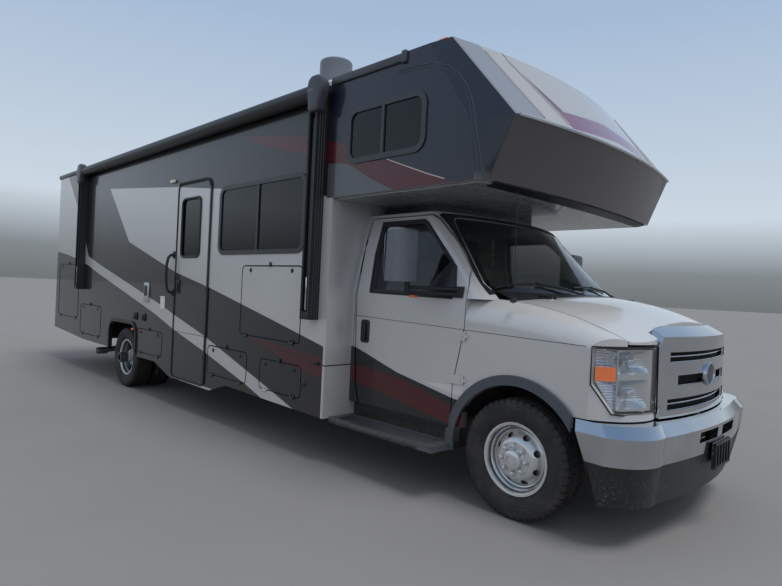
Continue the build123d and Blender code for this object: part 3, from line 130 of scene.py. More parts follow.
# %% A material and its nodes
class Finish:
    """A material under construction."""

    def __init__(self, name, colour=(0.5, 0.5, 0.5, 1.0), **constants):
        self.material = bpy.data.materials.new(name)
        self.material.use_nodes = True
        self.tree = self.material.node_tree
        self.shader = self.tree.nodes["Principled BSDF"]
        self.shader.inputs["Base Color"].default_value = colour
        self.material.diffuse_color = colour
        for key, value in constants.items():
            self.shader.inputs[key.replace("_", " ").title().replace("Ior", "IOR")].default_value = value

    def plug(self, socket, value):
        if isinstance(value, Value):
            self.tree.links.new(value.socket, socket)
        elif value is not None:
            socket.default_value = value

    def node(self, kind, settings=None, inputs=None, output=0):
        made = self.tree.nodes.new("ShaderNode" + kind)
        for key, value in (settings or {}).items():
            if key == "stops":
                ramp = made.color_ramp.elements
                while len(ramp) < len(value):
                    ramp.new(0.5)
                for stop, (place, colour) in zip(ramp, value):
                    stop.position, stop.color = place, colour
            elif key == "points":
                curve = made.mapping.curves[0]
                while len(curve.points) < len(value):
                    curve.points.new(0.5, 0.5)
                for point, place in zip(curve.points, value):
                    point.location = place
                    point.handle_type = "VECTOR"
                made.mapping.update()
            else:
                setattr(made, key, value)
        for key, value in (inputs or {}).items():
            self.plug(made.inputs[key], value)
        return Value(self, made.outputs[output])

    def number(self, amount):
        if isinstance(amount, Value):
            return amount
        made = self.tree.nodes.new("ShaderNodeValue")
        made.outputs[0].default_value = amount
        return Value(self, made.outputs[0])

    def place(self):
        """Station, side and height of the point, in metres."""
        if not hasattr(self, "parts"):
            self.spot = self.node("TexCoord", output="Object")
            self.parts = [self.node("SeparateXYZ", None, {0: self.spot}, output=i) for i in range(3)]
            self.parts[0] = self.parts[0] - FRONT_AXLE
        return self.parts

    def noise(self, scale, detail=3.0, roughness=0.5):
        self.place()
        return self.node("TexNoise", None,
                         {"Vector": self.spot, "Scale": scale, "Detail": detail, "Roughness": roughness})

    def mix(self, low, high, factor):
        """Two colours mixed by a factor."""
        return self.node("Mix", {"data_type": "RGBA"}, {0: factor, 6: low, 7: high}, output=2)

    def lit(self, colour, amount):
        """A colour made brighter or darker by an amount."""
        return self.node("VectorMath", {"operation": "SCALE"}, {0: colour, "Scale": amount})

    def feed(self, **links):
        for key, value in links.items():
            self.plug(self.shader.inputs[key.replace("_", " ").title()], value)
        return self

    def bump(self, height, depth, strength=1.0):
        """A relief of a given depth in metres."""
        relief = self.node("Bump", None, {"Height": height, "Distance": depth, "Strength": strength})
        self.plug(self.shader.inputs["Normal"], relief)
        return self


# %% [markdown]
# The coach is sprayed in three tones: a dark base coat, silver for a broad field and for a ribbon
# that sweeps down from the rear, and maroon for flashes low down and under the roof. A curved edge
# is a height against station, held in a Float Curve node, a straight one is a sum, and a tone fills
# the space between edges. They stay sharp at any size, which a painted picture would not.

# %% Edges of the painted shapes
STATION_SPAN = (-8.8, -0.2)
HEIGHT_SPAN = 3.2


def edge(finish, points):
    """The height of a painted edge at the point's station."""
    low, high = STATION_SPAN
    scaled = [((s - low) / (high - low), z / HEIGHT_SPAN) for s, z in points]
    scaled = [(0.0, scaled[0][1])] + scaled + [(1.0, scaled[-1][1])]
    station = finish.place()[0]
    curve = finish.node("FloatCurve", {"points": scaled}, {"Value": (station - low) / (high - low)})
    return curve * HEIGHT_SPAN


def line(finish, a, b):
    """The height of a straight edge through two points, without end."""
    slope = (b[1] - a[1]) / (b[0] - a[0])
    return (finish.place()[0] - a[0]) * slope + a[1]


# %% Metallic paint under clear lacquer
def lacquer(name, colour, roughness=0.34, metallic=0.30):
    """Part metallic paint under a clear gloss coat."""
    return Finish(name, colour, roughness=roughness, metallic=metallic, coat_weight=1.0,
                  coat_roughness=0.03, coat_ior=1.36)


def flaked(paint, colour, dirt_height=0.55):
    """Flake sparkle, soft clouding and a trace of road film low down, over a colour."""
    height = paint.place()[2]
    flakes = paint.node("TexVoronoi", None, {"Vector": paint.spot, "Scale": 900.0}, output="Distance")
    cloud = paint.noise(2.2, 5.0, 0.6)
    colour = paint.lit(colour, 0.90 + 0.14 * flakes + 0.10 * cloud)
    film = paint.noise(34.0, 4.0, 0.7)
    low = height.below(dirt_height, 0.5) * (0.02 + 0.05 * film)
    colour = paint.mix(colour, tone("#77726a"), low)
    return paint.feed(base_color=colour, roughness=0.30 + 0.08 * cloud + low * 0.8)


# %% Coach paint with its sweeping tones
coach = lacquer("coach_paint_stripes", CHARCOAL)
station, side, height = coach.place()

field_top = edge(coach, [(-6.29, 2.565), (-4.23, 2.395), (-1.86, 2.13), (-1.53, 2.06)])
field_low = edge(coach, [(-5.551, 1.828), (-4.168, 1.456), (-3.412, 1.316), (-2.25, 1.067), (-1.541, 0.911)])
field_rear = line(coach, (-6.293, 2.565), (-5.551, 1.828))
field = height.below(field_top) * height.above(field_low) * height.above(field_rear)

RIBBON_BEND = -7.453
ribbon_right = line(coach, (-8.111, 2.881), (RIBBON_BEND, 2.222))
ribbon_low = edge(coach, [(-8.56, 1.75), (-7.9, 1.68), (-7.05, 1.53), (-6.671, 1.433), (-4.656, 0.97),
                          (-4.173, 0.835), (-3.481, 0.675), (-2.661, 0.463), (-2.387, 0.379), (-2.25, 0.34)])
ribbon_top = edge(coach, [(RIBBON_BEND, 2.222), (-7.05, 1.66), (-6.592, 1.545), (-4.474, 1.073),
                          (-4.19, 0.999), (-3.477, 0.828), (-2.609, 0.575), (-2.199, 0.455),
                          (-1.84, 0.345)])
ribbon = height.above(ribbon_low) * height.below(ribbon_top).most(station.below(RIBBON_BEND))
ribbon = ribbon * height.below(ribbon_right).most(station.above(RIBBON_BEND))

FLASH_TIP = -2.793
HIGH_FLASH_TIP = -2.993
flash_top = line(coach, (FLASH_TIP, 0.905), (-1.557, 0.826))
flash_low = edge(coach, [(FLASH_TIP, 0.905), (-2.255, 0.806), (-2.012, 0.729), (-1.545, 0.663)])
low_flash = height.below(flash_top) * height.above(flash_low) * station.above(FLASH_TIP)
high_top = edge(coach, [(HIGH_FLASH_TIP, 2.749), (-2.346, 2.664), (-1.804, 2.564), (-1.6, 2.505)])
high_low = edge(coach, [(HIGH_FLASH_TIP, 2.749), (-2.417, 2.57), (-1.793, 2.42), (-1.6, 2.33)])
high_flash = height.below(high_top) * height.above(high_low) * station.above(HIGH_FLASH_TIP)
low_strip = height.between(0.675, 0.827) * station.above(-1.575)

WAIST = 0.820
waist_seam = height.between(WAIST - 0.003, WAIST + 0.003) * station.between(-5.18, -1.545)
GROOVE_TIP = -2.767
groove_line = line(coach, (GROOVE_TIP, 0.895), (-1.547, 0.769))
groove = (height - groove_line).size().below(0.0045) * station.above(GROOVE_TIP)
sill = height.below(0.322, 0.003) * station.above(-4.17)
pale_edge = sill.most(station.above(-1.556) * height.below(2.05))

body = coach.mix(CHARCOAL, SILVER, field.most(ribbon))
body = coach.mix(body, MAROON, low_flash.most(high_flash).most(low_strip))
body = coach.mix(body, tone("#b4b7ba"), pale_edge)
body = coach.mix(body, tone("#0c0c0d"), waist_seam.most(groove))
flaked(coach, body)
print("coach paint nodes", len(coach.tree.nodes))

# %% [markdown]
# The cab is plain silver, with the coach's dark and maroon bands running on across the door to the
# front wheel arch, where a pale wedge cuts into them. Only the flanks carry them. A fine crease
# crosses the door and the wing as a painted line of shade, and the scuttle ahead of the screen is black.

# %% Cab paint
cab = lacquer("cab_paint_stripes", SILVER)
station, side, height = cab.place()
dark_top = edge(cab, [(-1.53, 0.918), (-1.465, 0.908), (-1.011, 0.772), (-0.468, 0.665)])
maroon_top = edge(cab, [(-1.53, 0.79), (-1.455, 0.773), (-1.008, 0.737), (-0.505, 0.621), (-0.45, 0.60)])
maroon_low = edge(cab, [(-1.53, 0.65), (-1.446, 0.638), (-1.099, 0.589), (-0.497, 0.487), (-0.45, 0.47)])
flank = side.size().above(0.90, 0.004) * station.below(-0.40)
dark = height.below(dark_top) * flank
maroon = height.below(maroon_top) * height.above(maroon_low) * flank
WEDGE_TIP = (-0.747, 0.740)
wedge_low = line(cab, WEDGE_TIP, (-0.424, 0.690))
wedge_top = line(cab, WEDGE_TIP, (-0.424, 0.762))
wedge = height.below(wedge_top) * height.above(wedge_low) * flank * station.above(WEDGE_TIP[0])
SCUTTLE_RADIUS = 2.30
scuttle_edge = 0.060 - (side * side) / (2 * SCUTTLE_RADIUS)
scuttle = station.below(scuttle_edge) * station.above(-0.40) * side.size().below(0.875)
scuttle = scuttle * height.between(1.28, 1.45)
hinge_block = station.between(-0.070, 0.036) * side.size().between(0.585, 0.665) * height.above(1.3625)
scuttle = scuttle.most(hinge_block)
crease_line = line(cab, (-1.53, 1.162), (0.442, 1.110))
# The crease is painted shade: a thin dark line along it, since the solid is flat there.
painted_crease_shade = (height - crease_line).size().below(0.0022, 0.001)
painted_crease_shade = painted_crease_shade * side.size().above(0.90) * station.between(-1.50, 0.442)
rear_seam = (station + 1.506).size().below(0.003, 0.001) * side.size().above(0.80) * height.above(0.50)
body = cab.mix(cab.mix(SILVER, CHARCOAL, dark), MAROON, maroon)
body = cab.mix(body, tone("#c9cbcc"), wedge)
# Painted shade of the crease as a dark line, together with the dark rear seam.
body = cab.mix(body, tone("#3b3d40"), painted_crease_shade.most(rear_seam))
body = cab.mix(body, tone("#131415"), scuttle)
flaked(cab, body, 0.50)
print("cab paint nodes", len(cab.tree.nodes))

# %% [markdown]
# The cap is one moulding. Its dark side has a maroon crest that falls forward to a point, with a
# pinstripe over it and a grey wedge under it. Its face is brown-grey under the ridge and champagne
# above it, where a plum stripe comes down and widens into a magenta band along the ridge. The side
# and the face are told apart by which way the surface looks.

# %% Cap paint
RIDGE_Z = 2.430
cap = lacquer("cap_paint_stripes", NAVY)
station, side, height = cap.place()
normal = cap.node("NewGeometry", output="True Normal")
looks_ahead = cap.node("SeparateXYZ", None, {0: normal}, output=0)
looks_down = cap.node("SeparateXYZ", None, {0: normal}, output=2)
nose = looks_ahead.above(0.42, 0.04)
upper = height.above(RIDGE_Z, 0.001)
under = looks_down.below(-0.8, 0.1)

crest_top = edge(cap, [(-1.589, 2.501), (-1.35, 2.44), (-0.919, 2.266), (-0.575, 2.138), (-0.324, 2.056)])
crest_low = edge(cap, [(-1.576, 2.326), (-1.369, 2.30), (-1.114, 2.163), (-0.857, 2.051), (-0.324, 2.04)])
crest = height.below(crest_top) * height.above(crest_low) * station.below(-0.30)
grey_wedge = height.below(crest_low) * station.below(-0.80)
pinstripe = (height - crest_top).between(-0.001, 0.005) * station.between(-0.95, -0.42)
flank_colour = cap.mix(NAVY, tone("#4a4f57"), grey_wedge)
flank_colour = cap.mix(flank_colour, MAROON, crest)
flank_colour = cap.mix(flank_colour, PALE_LINE, pinstripe)

off = side.size()
lift = height - RIDGE_Z
fall_out = 0.648 + 0.355 * lift
fall_in = fall_out - 0.022 - (0.42 - lift).most(0.0) * 0.33
band_top = 0.225 - 0.105 * off
band_low = 0.072 - 0.077 * off
stripe = off.between(fall_in, fall_out, 0.003) * lift.above(band_low).most(off.above(0.60))
stripe = stripe * lift.above(0.018)
band = lift.between(band_low, band_top, 0.003) * off.below(fall_out, 0.003)
stripe = stripe * (band_top - lift).below(0.0).most(lift.above(0.165)).most(band)
hair = off.between(fall_out + 0.004, fall_out + 0.014, 0.002)
# Outboard of the fold rib the face is painted a darker grey: painted shade where the face turns away from the
# light.
face_upper = cap.mix(tone("#a9a6a3"), tone("#83858c"), off.above(0.925 + 0.19 * lift, 0.012))
face_upper = cap.mix(face_upper, tone("#541231"), stripe)
face_upper = cap.mix(face_upper, tone("#6f1f4a"), band)
face_upper = cap.mix(face_upper, tone("#c9c6c2"), hair)
face = cap.mix(tone("#474447"), face_upper, upper)
body = cap.mix(cap.mix(flank_colour, face, nose), tone("#8f9191"), under)
flaked(cap, body, 0.0)
print("cap paint nodes", len(cap.tree.nodes))

# %% [markdown]
# The plain finishes follow: moulded plastics with a fine grain, chrome with a trace of haze, tyre
# rubber, tinted glass and so on. Each has some variation in tone and gloss, because nothing on a
# real vehicle is perfectly even.


# %% Moulded plastic, metal and rubber
def grained(name, colour, roughness, grain=0.0004, scale=260.0, metallic=0.0, spread=0.10, **constants):
    """A finish with a fine grain and uneven gloss."""
    made = Finish(name, colour, roughness=roughness, metallic=metallic, **constants)
    cloud = made.noise(3.5, 4.0, 0.6)
    fine = made.noise(scale, 2.0, 0.6)
    shade = tuple(v * 0.80 for v in colour[:3]) + (1.0,)
    made.feed(base_color=made.mix(colour, shade, cloud.above(0.55, 0.5)),
              roughness=roughness + spread * (cloud - 0.5))
    return made.bump(fine, grain, 0.5) if grain else made


black_plastic = grained("black_plastic_grained", tone("#1c1e21"), 0.38)
grey_plastic = grained("grey_plastic_grained", tone("#646b77"), 0.42)
awning_grey = grained("awning_casting_grey", tone("#3a4048"), 0.36)
mirror_shell = Finish("mirror_shell_grey", tone("#565d69"), roughness=0.45)
height = mirror_shell.place()[2]
cloud = mirror_shell.noise(9.0, 4.0, 0.6)
shell = mirror_shell.mix(tone("#5d6471"), tone("#4c525d"), cloud)
MIRROR_ARM_TOP = 1.433
mirror_shell.feed(base_color=mirror_shell.mix(shell, tone("#14171b"), height.below(MIRROR_ARM_TOP, 0.002)),
                  roughness=0.38 + 0.12 * cloud)
mirror_shell.bump(mirror_shell.noise(420.0, 2.0), 0.0004, 0.5)
dash_grey = grained("dashboard_grey", tone("#34363a"), 0.60)
frame_grey = grained("window_frame_grey", tone("#31363d"), 0.30, 0.0002, 300.0)
mirror_glass = grained("mirror_glass", tone("#aeb6bd"), 0.02, 0.0, 100.0, 1.0, 0.02)
dark_backing = grained("dark_backing", tone("#08090a"), 0.80, 0.0004, 90.0)
chassis_black = grained("chassis_black_coat", tone("#1a1a1b"), 0.60, 0.0008, 90.0)
bare_steel = grained("bare_steel_brushed", tone("#7b7d7f"), 0.38, 0.0002, 400.0, 1.0)
engine_iron = grained("engine_iron_cast", tone("#4a4a48"), 0.62, 0.0015, 120.0, 0.6)
chrome = grained("chrome_plate", tone("#cdd0d4"), 0.06, 0.0, 100.0, 1.0, 0.04)
wheel_chrome = grained("wheel_cover_chrome", tone("#d5d8db"), 0.16, 0.0, 100.0, 0.62, 0.05, coat_weight=0.4)
lamp_silver = grained("lamp_reflector_silver", tone("#d2d6da"), 0.08, 0.0, 100.0, 0.90, 0.05)
roof_white = grained("roof_white_membrane", tone("#d8d8d3"), 0.55, 0.0006, 60.0)
interior = grained("interior_trim_beige", tone("#8b8276"), 0.70, 0.0005, 200.0)
bay_lining = grained("bay_lining_grey", tone("#3a3b3d"), 0.75, 0.0010, 80.0)
seal_rubber = grained("seal_rubber_black", RUBBER_BLACK, 0.50, 0.0002, 300.0)
bright_trim = grained("bright_trim_silver", tone("#c3c8cd"), 0.22, 0.0, 100.0, 0.75, 0.05)
rib_silver = grained("rib_silver_paint", tone("#aaa8a6"), 0.30, 0.0, 100.0, 0.35, 0.05, coat_weight=1.0)
print("plain finishes ready")

# %% Underside of the cap; the collar over the cab's roof is painted black as the shade in the gap under the cap
under_grey = Finish("under_panel_grey", tone("#8d9294"), roughness=0.26, coat_weight=0.5, coat_roughness=0.05)
COLLAR_TOP = 2.0474
cloud = under_grey.noise(3.0, 4.0, 0.6)
# Below COLLAR_TOP the collar is painted near black: painted shade in the gap between the cap and the cab
# roof.
painted_collar_shade = under_grey.place()[2].below(COLLAR_TOP, 0.0006)
under_tone = under_grey.mix(tone("#93989a"), tone("#858a8c"), cloud)
under_grey.feed(base_color=under_grey.mix(under_tone, tone("#0d0e0f"), painted_collar_shade), roughness=0.22 + 0.10 * cloud)

# %% Flare plastic, with black liners behind it
flare_plastic = Finish("flare_plastic_satin", tone("#464e59"), roughness=0.36, coat_weight=0.3,
                       coat_roughness=0.12)
station, side, height = flare_plastic.place()
cloud = flare_plastic.noise(3.5, 4.0, 0.6)
dust = flare_plastic.noise(30.0, 5.0, 0.7)
proud = side.size().above(0.988, 0.002) * station.above(-0.60) + station.below(-5.0)
step_top = height.above(0.3485, 0.001) * station.between(-1.52, -0.46) * side.size().above(0.945, 0.004)
plastic = flare_plastic.mix(tone("#464e59"), tone("#3a414b"), cloud)
plastic = flare_plastic.mix(tone("#101112"), plastic, proud)
plastic = flare_plastic.mix(plastic, tone("#3d4248"), step_top)
plastic = flare_plastic.mix(plastic, tone("#15171a"), station.below(-3.0))
low_dust = height.below(0.50, 0.25) * dust.above(0.52, 0.3) * 0.25
plastic = flare_plastic.mix(plastic, tone("#6b6a64"), low_dust)
flare_plastic.feed(base_color=plastic, roughness=0.34 + 0.22 * dust)
treads = (side * 260.0).math("SINE") * step_top
flare_plastic.bump(treads + flare_plastic.noise(300.0, 2.0) * 0.2, 0.0025, 0.6)

# %% Valance plastic, speckled with road dirt
valance_plastic = Finish("valance_plastic_dusty", tone("#26292c"), roughness=0.6)
splash = valance_plastic.noise(75.0, 6.0, 0.75)
patch = valance_plastic.noise(5.0, 3.0, 0.6)
specks = splash.above(0.60, 0.12) * patch.above(0.42, 0.3)
valance_plastic.feed(base_color=valance_plastic.mix(tone("#1e2124"), tone("#7d7a72"), specks * 0.55),
                     roughness=0.38 + 0.4 * specks)
valance_plastic.bump(valance_plastic.noise(420.0, 2.0), 0.0006, 0.5)
print("flare and valance ready")

# %% Tyre rubber
tyre_rubber = Finish("tyre_rubber_worn", tone("#232325"), roughness=0.72)
dust = tyre_rubber.noise(9.0, 6.0, 0.65)
fine = tyre_rubber.noise(420.0, 2.0, 0.5)
tyre_rubber.feed(base_color=tyre_rubber.mix(tone("#222224"), tone("#4a4743"), dust.above(0.62, 0.35) * 0.55),
                 roughness=0.62 + 0.2 * dust)
tyre_rubber.bump(fine, 0.0005, 0.6)

# %% [markdown]
# Glass is a clear sheet with a tint. The coach's windows are nearly black, as factory privacy
# glass is, so they are a dark gloss sheet that lets little through; the cab's glass is clear.

# %% Glass and lenses
glass = Finish("tinted_window_glass", tone("#07090d"), roughness=0.02, ior=1.42, coat_weight=0.1,
               coat_roughness=0.01, alpha=0.965)
glass.feed(roughness=0.015 + 0.02 * glass.noise(5.0, 3.0, 0.5))

pane_glass = Finish("clear_pane_glass", tone("#12181b"), roughness=0.02, ior=1.45, alpha=0.50,
                    coat_weight=1.0, coat_roughness=0.02)
pane_glass.feed(roughness=0.015 + 0.02 * pane_glass.noise(5.0, 3.0, 0.5))

screen_glass = Finish("clear_screen_glass", tone("#606a64"), roughness=0.02, ior=1.5, alpha=0.28,
                      coat_weight=1.0, coat_roughness=0.02)
station, side, height = screen_glass.place()
smear = screen_glass.noise(5.0, 3.0, 0.5)
shade_band = height.above(1.84, 0.10)
frit_edge = 0.905 - (height - 1.392) * 0.2887
frit = (side.size() - frit_edge).above(-0.034, 0.004)
frit = frit.most(height.below(1.430, 0.006)).most(height.above(1.893, 0.006))
screen_glass.feed(base_color=screen_glass.mix(tone("#1d2625"), tone("#07080a"), frit.most(shade_band * 0.8)),
                  roughness=0.015 + 0.02 * smear, alpha=(0.34 + 0.34 * shade_band).most(frit))

clear_lamp = Finish("clear_lamp_lens", tone("#dfe4e8"), roughness=0.04, ior=1.49, alpha=0.06,
                    coat_weight=1.0, coat_roughness=0.02)
clear_lamp.feed(roughness=0.03 + 0.03 * clear_lamp.noise(12.0))

red_lamp = grained("red_lamp_lens", tone("#8f1010"), 0.12, 0.0, 100.0, 0.0, 0.05, coat_weight=0.8)
amber_lens = grained("amber_lamp_lens", tone("#e06a00"), 0.15, 0.0, 100.0, 0.0, 0.05, coat_weight=0.8)
pale_lens = grained("pale_lamp_lens", tone("#dfe0da"), 0.25, 0.0, 100.0)

# %% Seat cloth
seat_fabric = Finish("seat_cloth_woven", tone("#6f675c"), roughness=0.9, sheen_weight=0.25)
station, side, height = seat_fabric.place()
warp = (station * 1400.0).math("SINE") * (side * 1400.0).math("SINE")
tuft = seat_fabric.noise(40.0, 3.0, 0.6)
seat_fabric.feed(base_color=seat_fabric.mix(tone("#665e54"), tone("#7f776b"), tuft))
seat_fabric.bump(warp, 0.0006, 0.6)

FINISHES = {"coach_paint": coach, "cab_paint": cab, "cap_paint": cap, "roof_white": roof_white,
            "interior": interior, "chassis_black": chassis_black, "bare_steel": bare_steel,
            "engine_iron": engine_iron, "chrome": chrome, "black_plastic": black_plastic,
            "grey_plastic": grey_plastic, "clear_lamp": clear_lamp, "red_lamp": red_lamp, "glass": glass,
            "tyre": tyre_rubber, "seat_fabric": seat_fabric, "bay_lining": bay_lining}
print("finishes", len(FINISHES))

# %% [markdown]
# The solids keep their shapes and get these finishes through the material slots they came with.

# %% Finishes on the solids
for name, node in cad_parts.items():
    for place in node.material_slots:
        base = place.material.name.split(".")[0]
        if base in FINISHES:
            place.material = FINISHES[base].material
        else:
            print("no finish for", name, base)
OWN_FINISH = {"windscreen": screen_glass, "cab_glass_right": pane_glass, "cab_glass_left": pane_glass,
              "flares_and_steps": flare_plastic, "front_valance": valance_plastic,
              "mirror_right": mirror_shell, "mirror_left": mirror_shell, "overcab_floor": under_grey,
              "roof_dome": grey_plastic, "dashboard": dash_grey, "window_frames": frame_grey}
for name, finish in OWN_FINISH.items():
    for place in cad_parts[name].material_slots:
        place.material = finish.material
print("solids finished")

# %% [markdown]
# New pieces are made as by hand, with operators: an outline is drawn by pulling a vertex from
# point to point, then filled and pulled out, spun, or thickened to a tube. These few helpers keep
# each piece down to a few lines.


# %% Selecting and drawing
MERGE_DISTANCE = 0.00002


def at(s, y, z):
    """A point from its station, side and height."""
    return Vector((FRONT_AXLE + s, y, z))


def on_wall(s, z, out=0.0, side=-1):
    """A point a distance outside the coach's side wall, the right one unless told."""
    return at(s, side * (WALL_Y + out), z)


def rest():
    """Object mode with nothing selected."""
    if bpy.context.mode != "OBJECT":
        bpy.ops.object.mode_set(mode="OBJECT")
    bpy.ops.object.select_all(action="DESELECT")


def take(piece):
    """The piece alone, selected and active."""
    rest()
    piece.select_set(True)
    bpy.context.view_layer.objects.active = piece


def edit(piece, test=None, kind="FACE"):
    """Edit mode, with all selected, or only the faces whose centre passes a test."""
    take(piece)
    bpy.ops.object.mode_set(mode="EDIT")
    bpy.ops.mesh.select_mode(type=kind)
    bpy.ops.mesh.select_all(action="SELECT" if test is None else "DESELECT")
    if test is None:
        return
    bpy.ops.object.mode_set(mode="OBJECT")
    for face in piece.data.polygons:
        face.select = test(face.center)
    bpy.ops.object.mode_set(mode="EDIT")


def drawn(points, closed=False):
    """A chain of edges, pulled from one vertex."""
    rest()
    bpy.ops.mesh.primitive_plane_add(size=0.01, location=(0, 0, 0))
    piece = bpy.context.object
    edit(piece, kind="VERT")
    bpy.ops.mesh.merge(type="CENTER")
    bpy.ops.transform.translate(value=points[0])
    route = list(points[1:]) + ([points[0]] if closed else [])
    last = Vector(points[0])
    for point in route:
        step = Vector(point) - last
        bpy.ops.mesh.extrude_vertices_move(TRANSFORM_OT_translate={"value": step})
        last = Vector(point)
    if closed:
        bpy.ops.mesh.select_all(action="SELECT")
        bpy.ops.mesh.remove_doubles(threshold=MERGE_DISTANCE)
    bpy.ops.object.mode_set(mode="OBJECT")
    return piece


def outward(piece):
    """The piece with doubles merged and faces turned outwards."""
    edit(piece)
    bpy.ops.mesh.remove_doubles(threshold=MERGE_DISTANCE)
    bpy.ops.mesh.normals_make_consistent(inside=False)
    bpy.ops.object.mode_set(mode="OBJECT")
    return piece


# %% Modifiers, applied at once
def modified(piece, kind, **settings):
    """A modifier added and applied."""
    take(piece)
    modifier = piece.modifiers.new(kind.title(), kind)
    for key, value in settings.items():
        setattr(modifier, key, value)
    bpy.ops.object.modifier_apply(modifier=modifier.name)
    return piece


# %% Panels, turned forms, tubes and blocks
ROUNDED_OVER = math.radians(35)


def panel(points, depth, radius, segments=2):
    """A flat outline pulled to a thickness, its edges rounded where they turn sharply."""
    piece = drawn(points, True)
    edit(piece, kind="VERT")
    bpy.ops.mesh.edge_face_add()
    bpy.ops.mesh.extrude_region_move(TRANSFORM_OT_translate={"value": Vector(depth)})
    return modified(outward(piece), "BEVEL", width=radius, segments=segments, limit_method="ANGLE",
                    angle_limit=ROUNDED_OVER, harden_normals=False)


def turned(profile, centre, axis, steps):
    """A form spun about an axis from (radius, distance along it) points."""
    axis = Vector(axis).normalized()
    away = axis.orthogonal().normalized()
    centre = Vector(centre)
    piece = drawn([centre + away * r + axis * out for r, out in profile])
    edit(piece, kind="VERT")
    bpy.ops.mesh.spin(steps=steps, angle=math.tau, center=centre, axis=axis)
    return outward(piece)


def tube(points, radius, closed=False, roundness=2):
    """A round bar or seal along a route."""
    take(drawn(points, closed))
    bpy.ops.object.convert(target="CURVE")
    curve = bpy.context.object.data
    curve.bevel_depth = radius
    curve.bevel_resolution = roundness
    curve.use_fill_caps = not closed
    bpy.ops.object.convert(target="MESH")
    return outward(bpy.context.object)


def rounded_block(centre, size, radius, segments=3):
    """A block with rounded edges."""
    rest()
    bpy.ops.mesh.primitive_cube_add(size=1, location=centre, scale=size)
    piece = bpy.context.object
    bpy.ops.object.transform_apply(location=True, rotation=True, scale=True)
    edit(piece, kind="EDGE")
    bpy.ops.mesh.bevel(offset=radius, segments=segments, affect="EDGES")
    bpy.ops.object.mode_set(mode="OBJECT")
    return piece


def wall_block(s, z, out, size, radius, side=-1, segments=3):
    """A rounded block on the coach's side wall."""
    return rounded_block(on_wall(s, z, out, side), size, radius, segments)


def round_rect(x0, x1, z0, z1, radius, place, steps=5):
    """Points of a rounded rectangle; place turns its two coordinates into a point."""
    points = []
    for cx, cz, turn in ((x1 - radius, z1 - radius, 0), (x0 + radius, z1 - radius, 1),
                         (x0 + radius, z0 + radius, 2), (x1 - radius, z0 + radius, 3)):
        for k in range(steps + 1):
            a = math.radians(90 * (turn + k / steps))
            points.append(place(cx + radius * math.cos(a), cz + radius * math.sin(a)))
    return points


# %% Sheets laid by rule
def sheet(columns, rows, place):
    """A grid of faces placed by a function of two shares, each from 0 to 1."""
    rest()
    bpy.ops.mesh.primitive_grid_add(x_subdivisions=columns, y_subdivisions=rows, size=2)
    piece = bpy.context.object
    for vertex in piece.data.vertices:
        vertex.co = place((vertex.co.x + 1) / 2, (vertex.co.y + 1) / 2)
    return outward(piece)


def along(points, share):
    """The point a share of the way along a chain, each leg counting alike."""
    spot = min(max(share, 0.0), 1.0) * (len(points) - 1)
    k = min(int(spot), len(points) - 2)
    return Vector(points[k]).lerp(Vector(points[k + 1]), spot - k)


def across(first, second, u, v):
    """A point a share along two chains, and a share of the way from the first to the second."""
    return along(first, u).lerp(along(second, u), v)


# %% Copies, mirroring and joining
def copied(piece, move=(0, 0, 0)):
    """A copy with its own mesh, moved."""
    take(piece)
    bpy.ops.object.duplicate()
    twin = bpy.context.object
    edit(twin, kind="VERT")
    bpy.ops.transform.translate(value=move)
    bpy.ops.object.mode_set(mode="OBJECT")
    return twin


def mirrored(piece):
    """A copy on the other side of the vehicle."""
    twin = copied(piece)
    edit(twin, kind="VERT")
    bpy.ops.transform.resize(value=(1, -1, 1), center_override=(0, 0, 0))
    bpy.ops.mesh.flip_normals()
    bpy.ops.object.mode_set(mode="OBJECT")
    return twin


def joined(pieces):
    """Several forms made one piece."""
    rest()
    for piece in pieces:
        piece.select_set(True)
    bpy.context.view_layer.objects.active = pieces[0]
    bpy.ops.object.join()
    return bpy.context.object


def fitted(piece, name, body, slot, finish, angle, instead_of=()):
    """Name, finish and place a piece on its body; edges under the angle are shaded smooth."""
    take(piece)
    piece.name = piece.data.name = name
    piece.data.materials.clear()
    piece.data.materials.append(finish.material)
    bpy.ops.object.shade_smooth_by_angle(angle=math.radians(angle))
    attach(piece, body)
    if instead_of:
        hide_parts(*instead_of)
    print(name, len(piece.data.polygons), "faces")
    return piece


SIDES = {"right": -1, "left": 1}


def fitted_both_sides(rows, angle):
    """Right-hand forms set on both sides; a row is form, name, slot, finish, body and node replaced."""
    for tag, side in SIDES.items():
        for form, name, slot, finish, body, node in rows:
            one = copied(form) if side < 0 else mirrored(form)
            fitted(one, f"{name}_{tag}", f"{body}_{tag}", slot, finish, angle, [f"{node}_{tag}"])
    for row in rows:
        bpy.data.objects.remove(row[0])


# %% [markdown]
# A light-truck tyre has four grooves round it, blocks cut into its shoulders and a raised ring on
# the wall. Its section is drawn once and spun; every fourth strip of the shoulder is then pressed
# in to leave the blocks. It stands in for the plain solid tyre.

# %% Tyres
TYRE_HALF = [(0.203, 0.070), (0.212, 0.0725), (0.222, 0.073), (0.236, 0.089), (0.251, 0.100),
             (0.270, 0.1062), (0.288, 0.108), (0.297, 0.1080), (0.299, 0.1092), (0.303, 0.1092),
             (0.305, 0.1078), (0.326, 0.1075), (0.344, 0.106), (0.356, 0.102), (0.3655, 0.0935),
             (0.3672, 0.088), (0.3682, 0.063), (0.359, 0.061), (0.359, 0.055), (0.3688, 0.053),
             (0.3695, 0.026), (0.3598, 0.0245), (0.3598, 0.0185), (0.3698, 0.017)]
TYRE_STEPS = 192
TREAD_PITCH = 4
TREAD_CUT = 0.006
SIDEWAYS = (0, 1, 0)


def wheel_form(profile, s, y, steps):
    """A form turned about a wheel's axle."""
    return turned(profile, at(s, y, AXLE_HEIGHT), SIDEWAYS, steps)


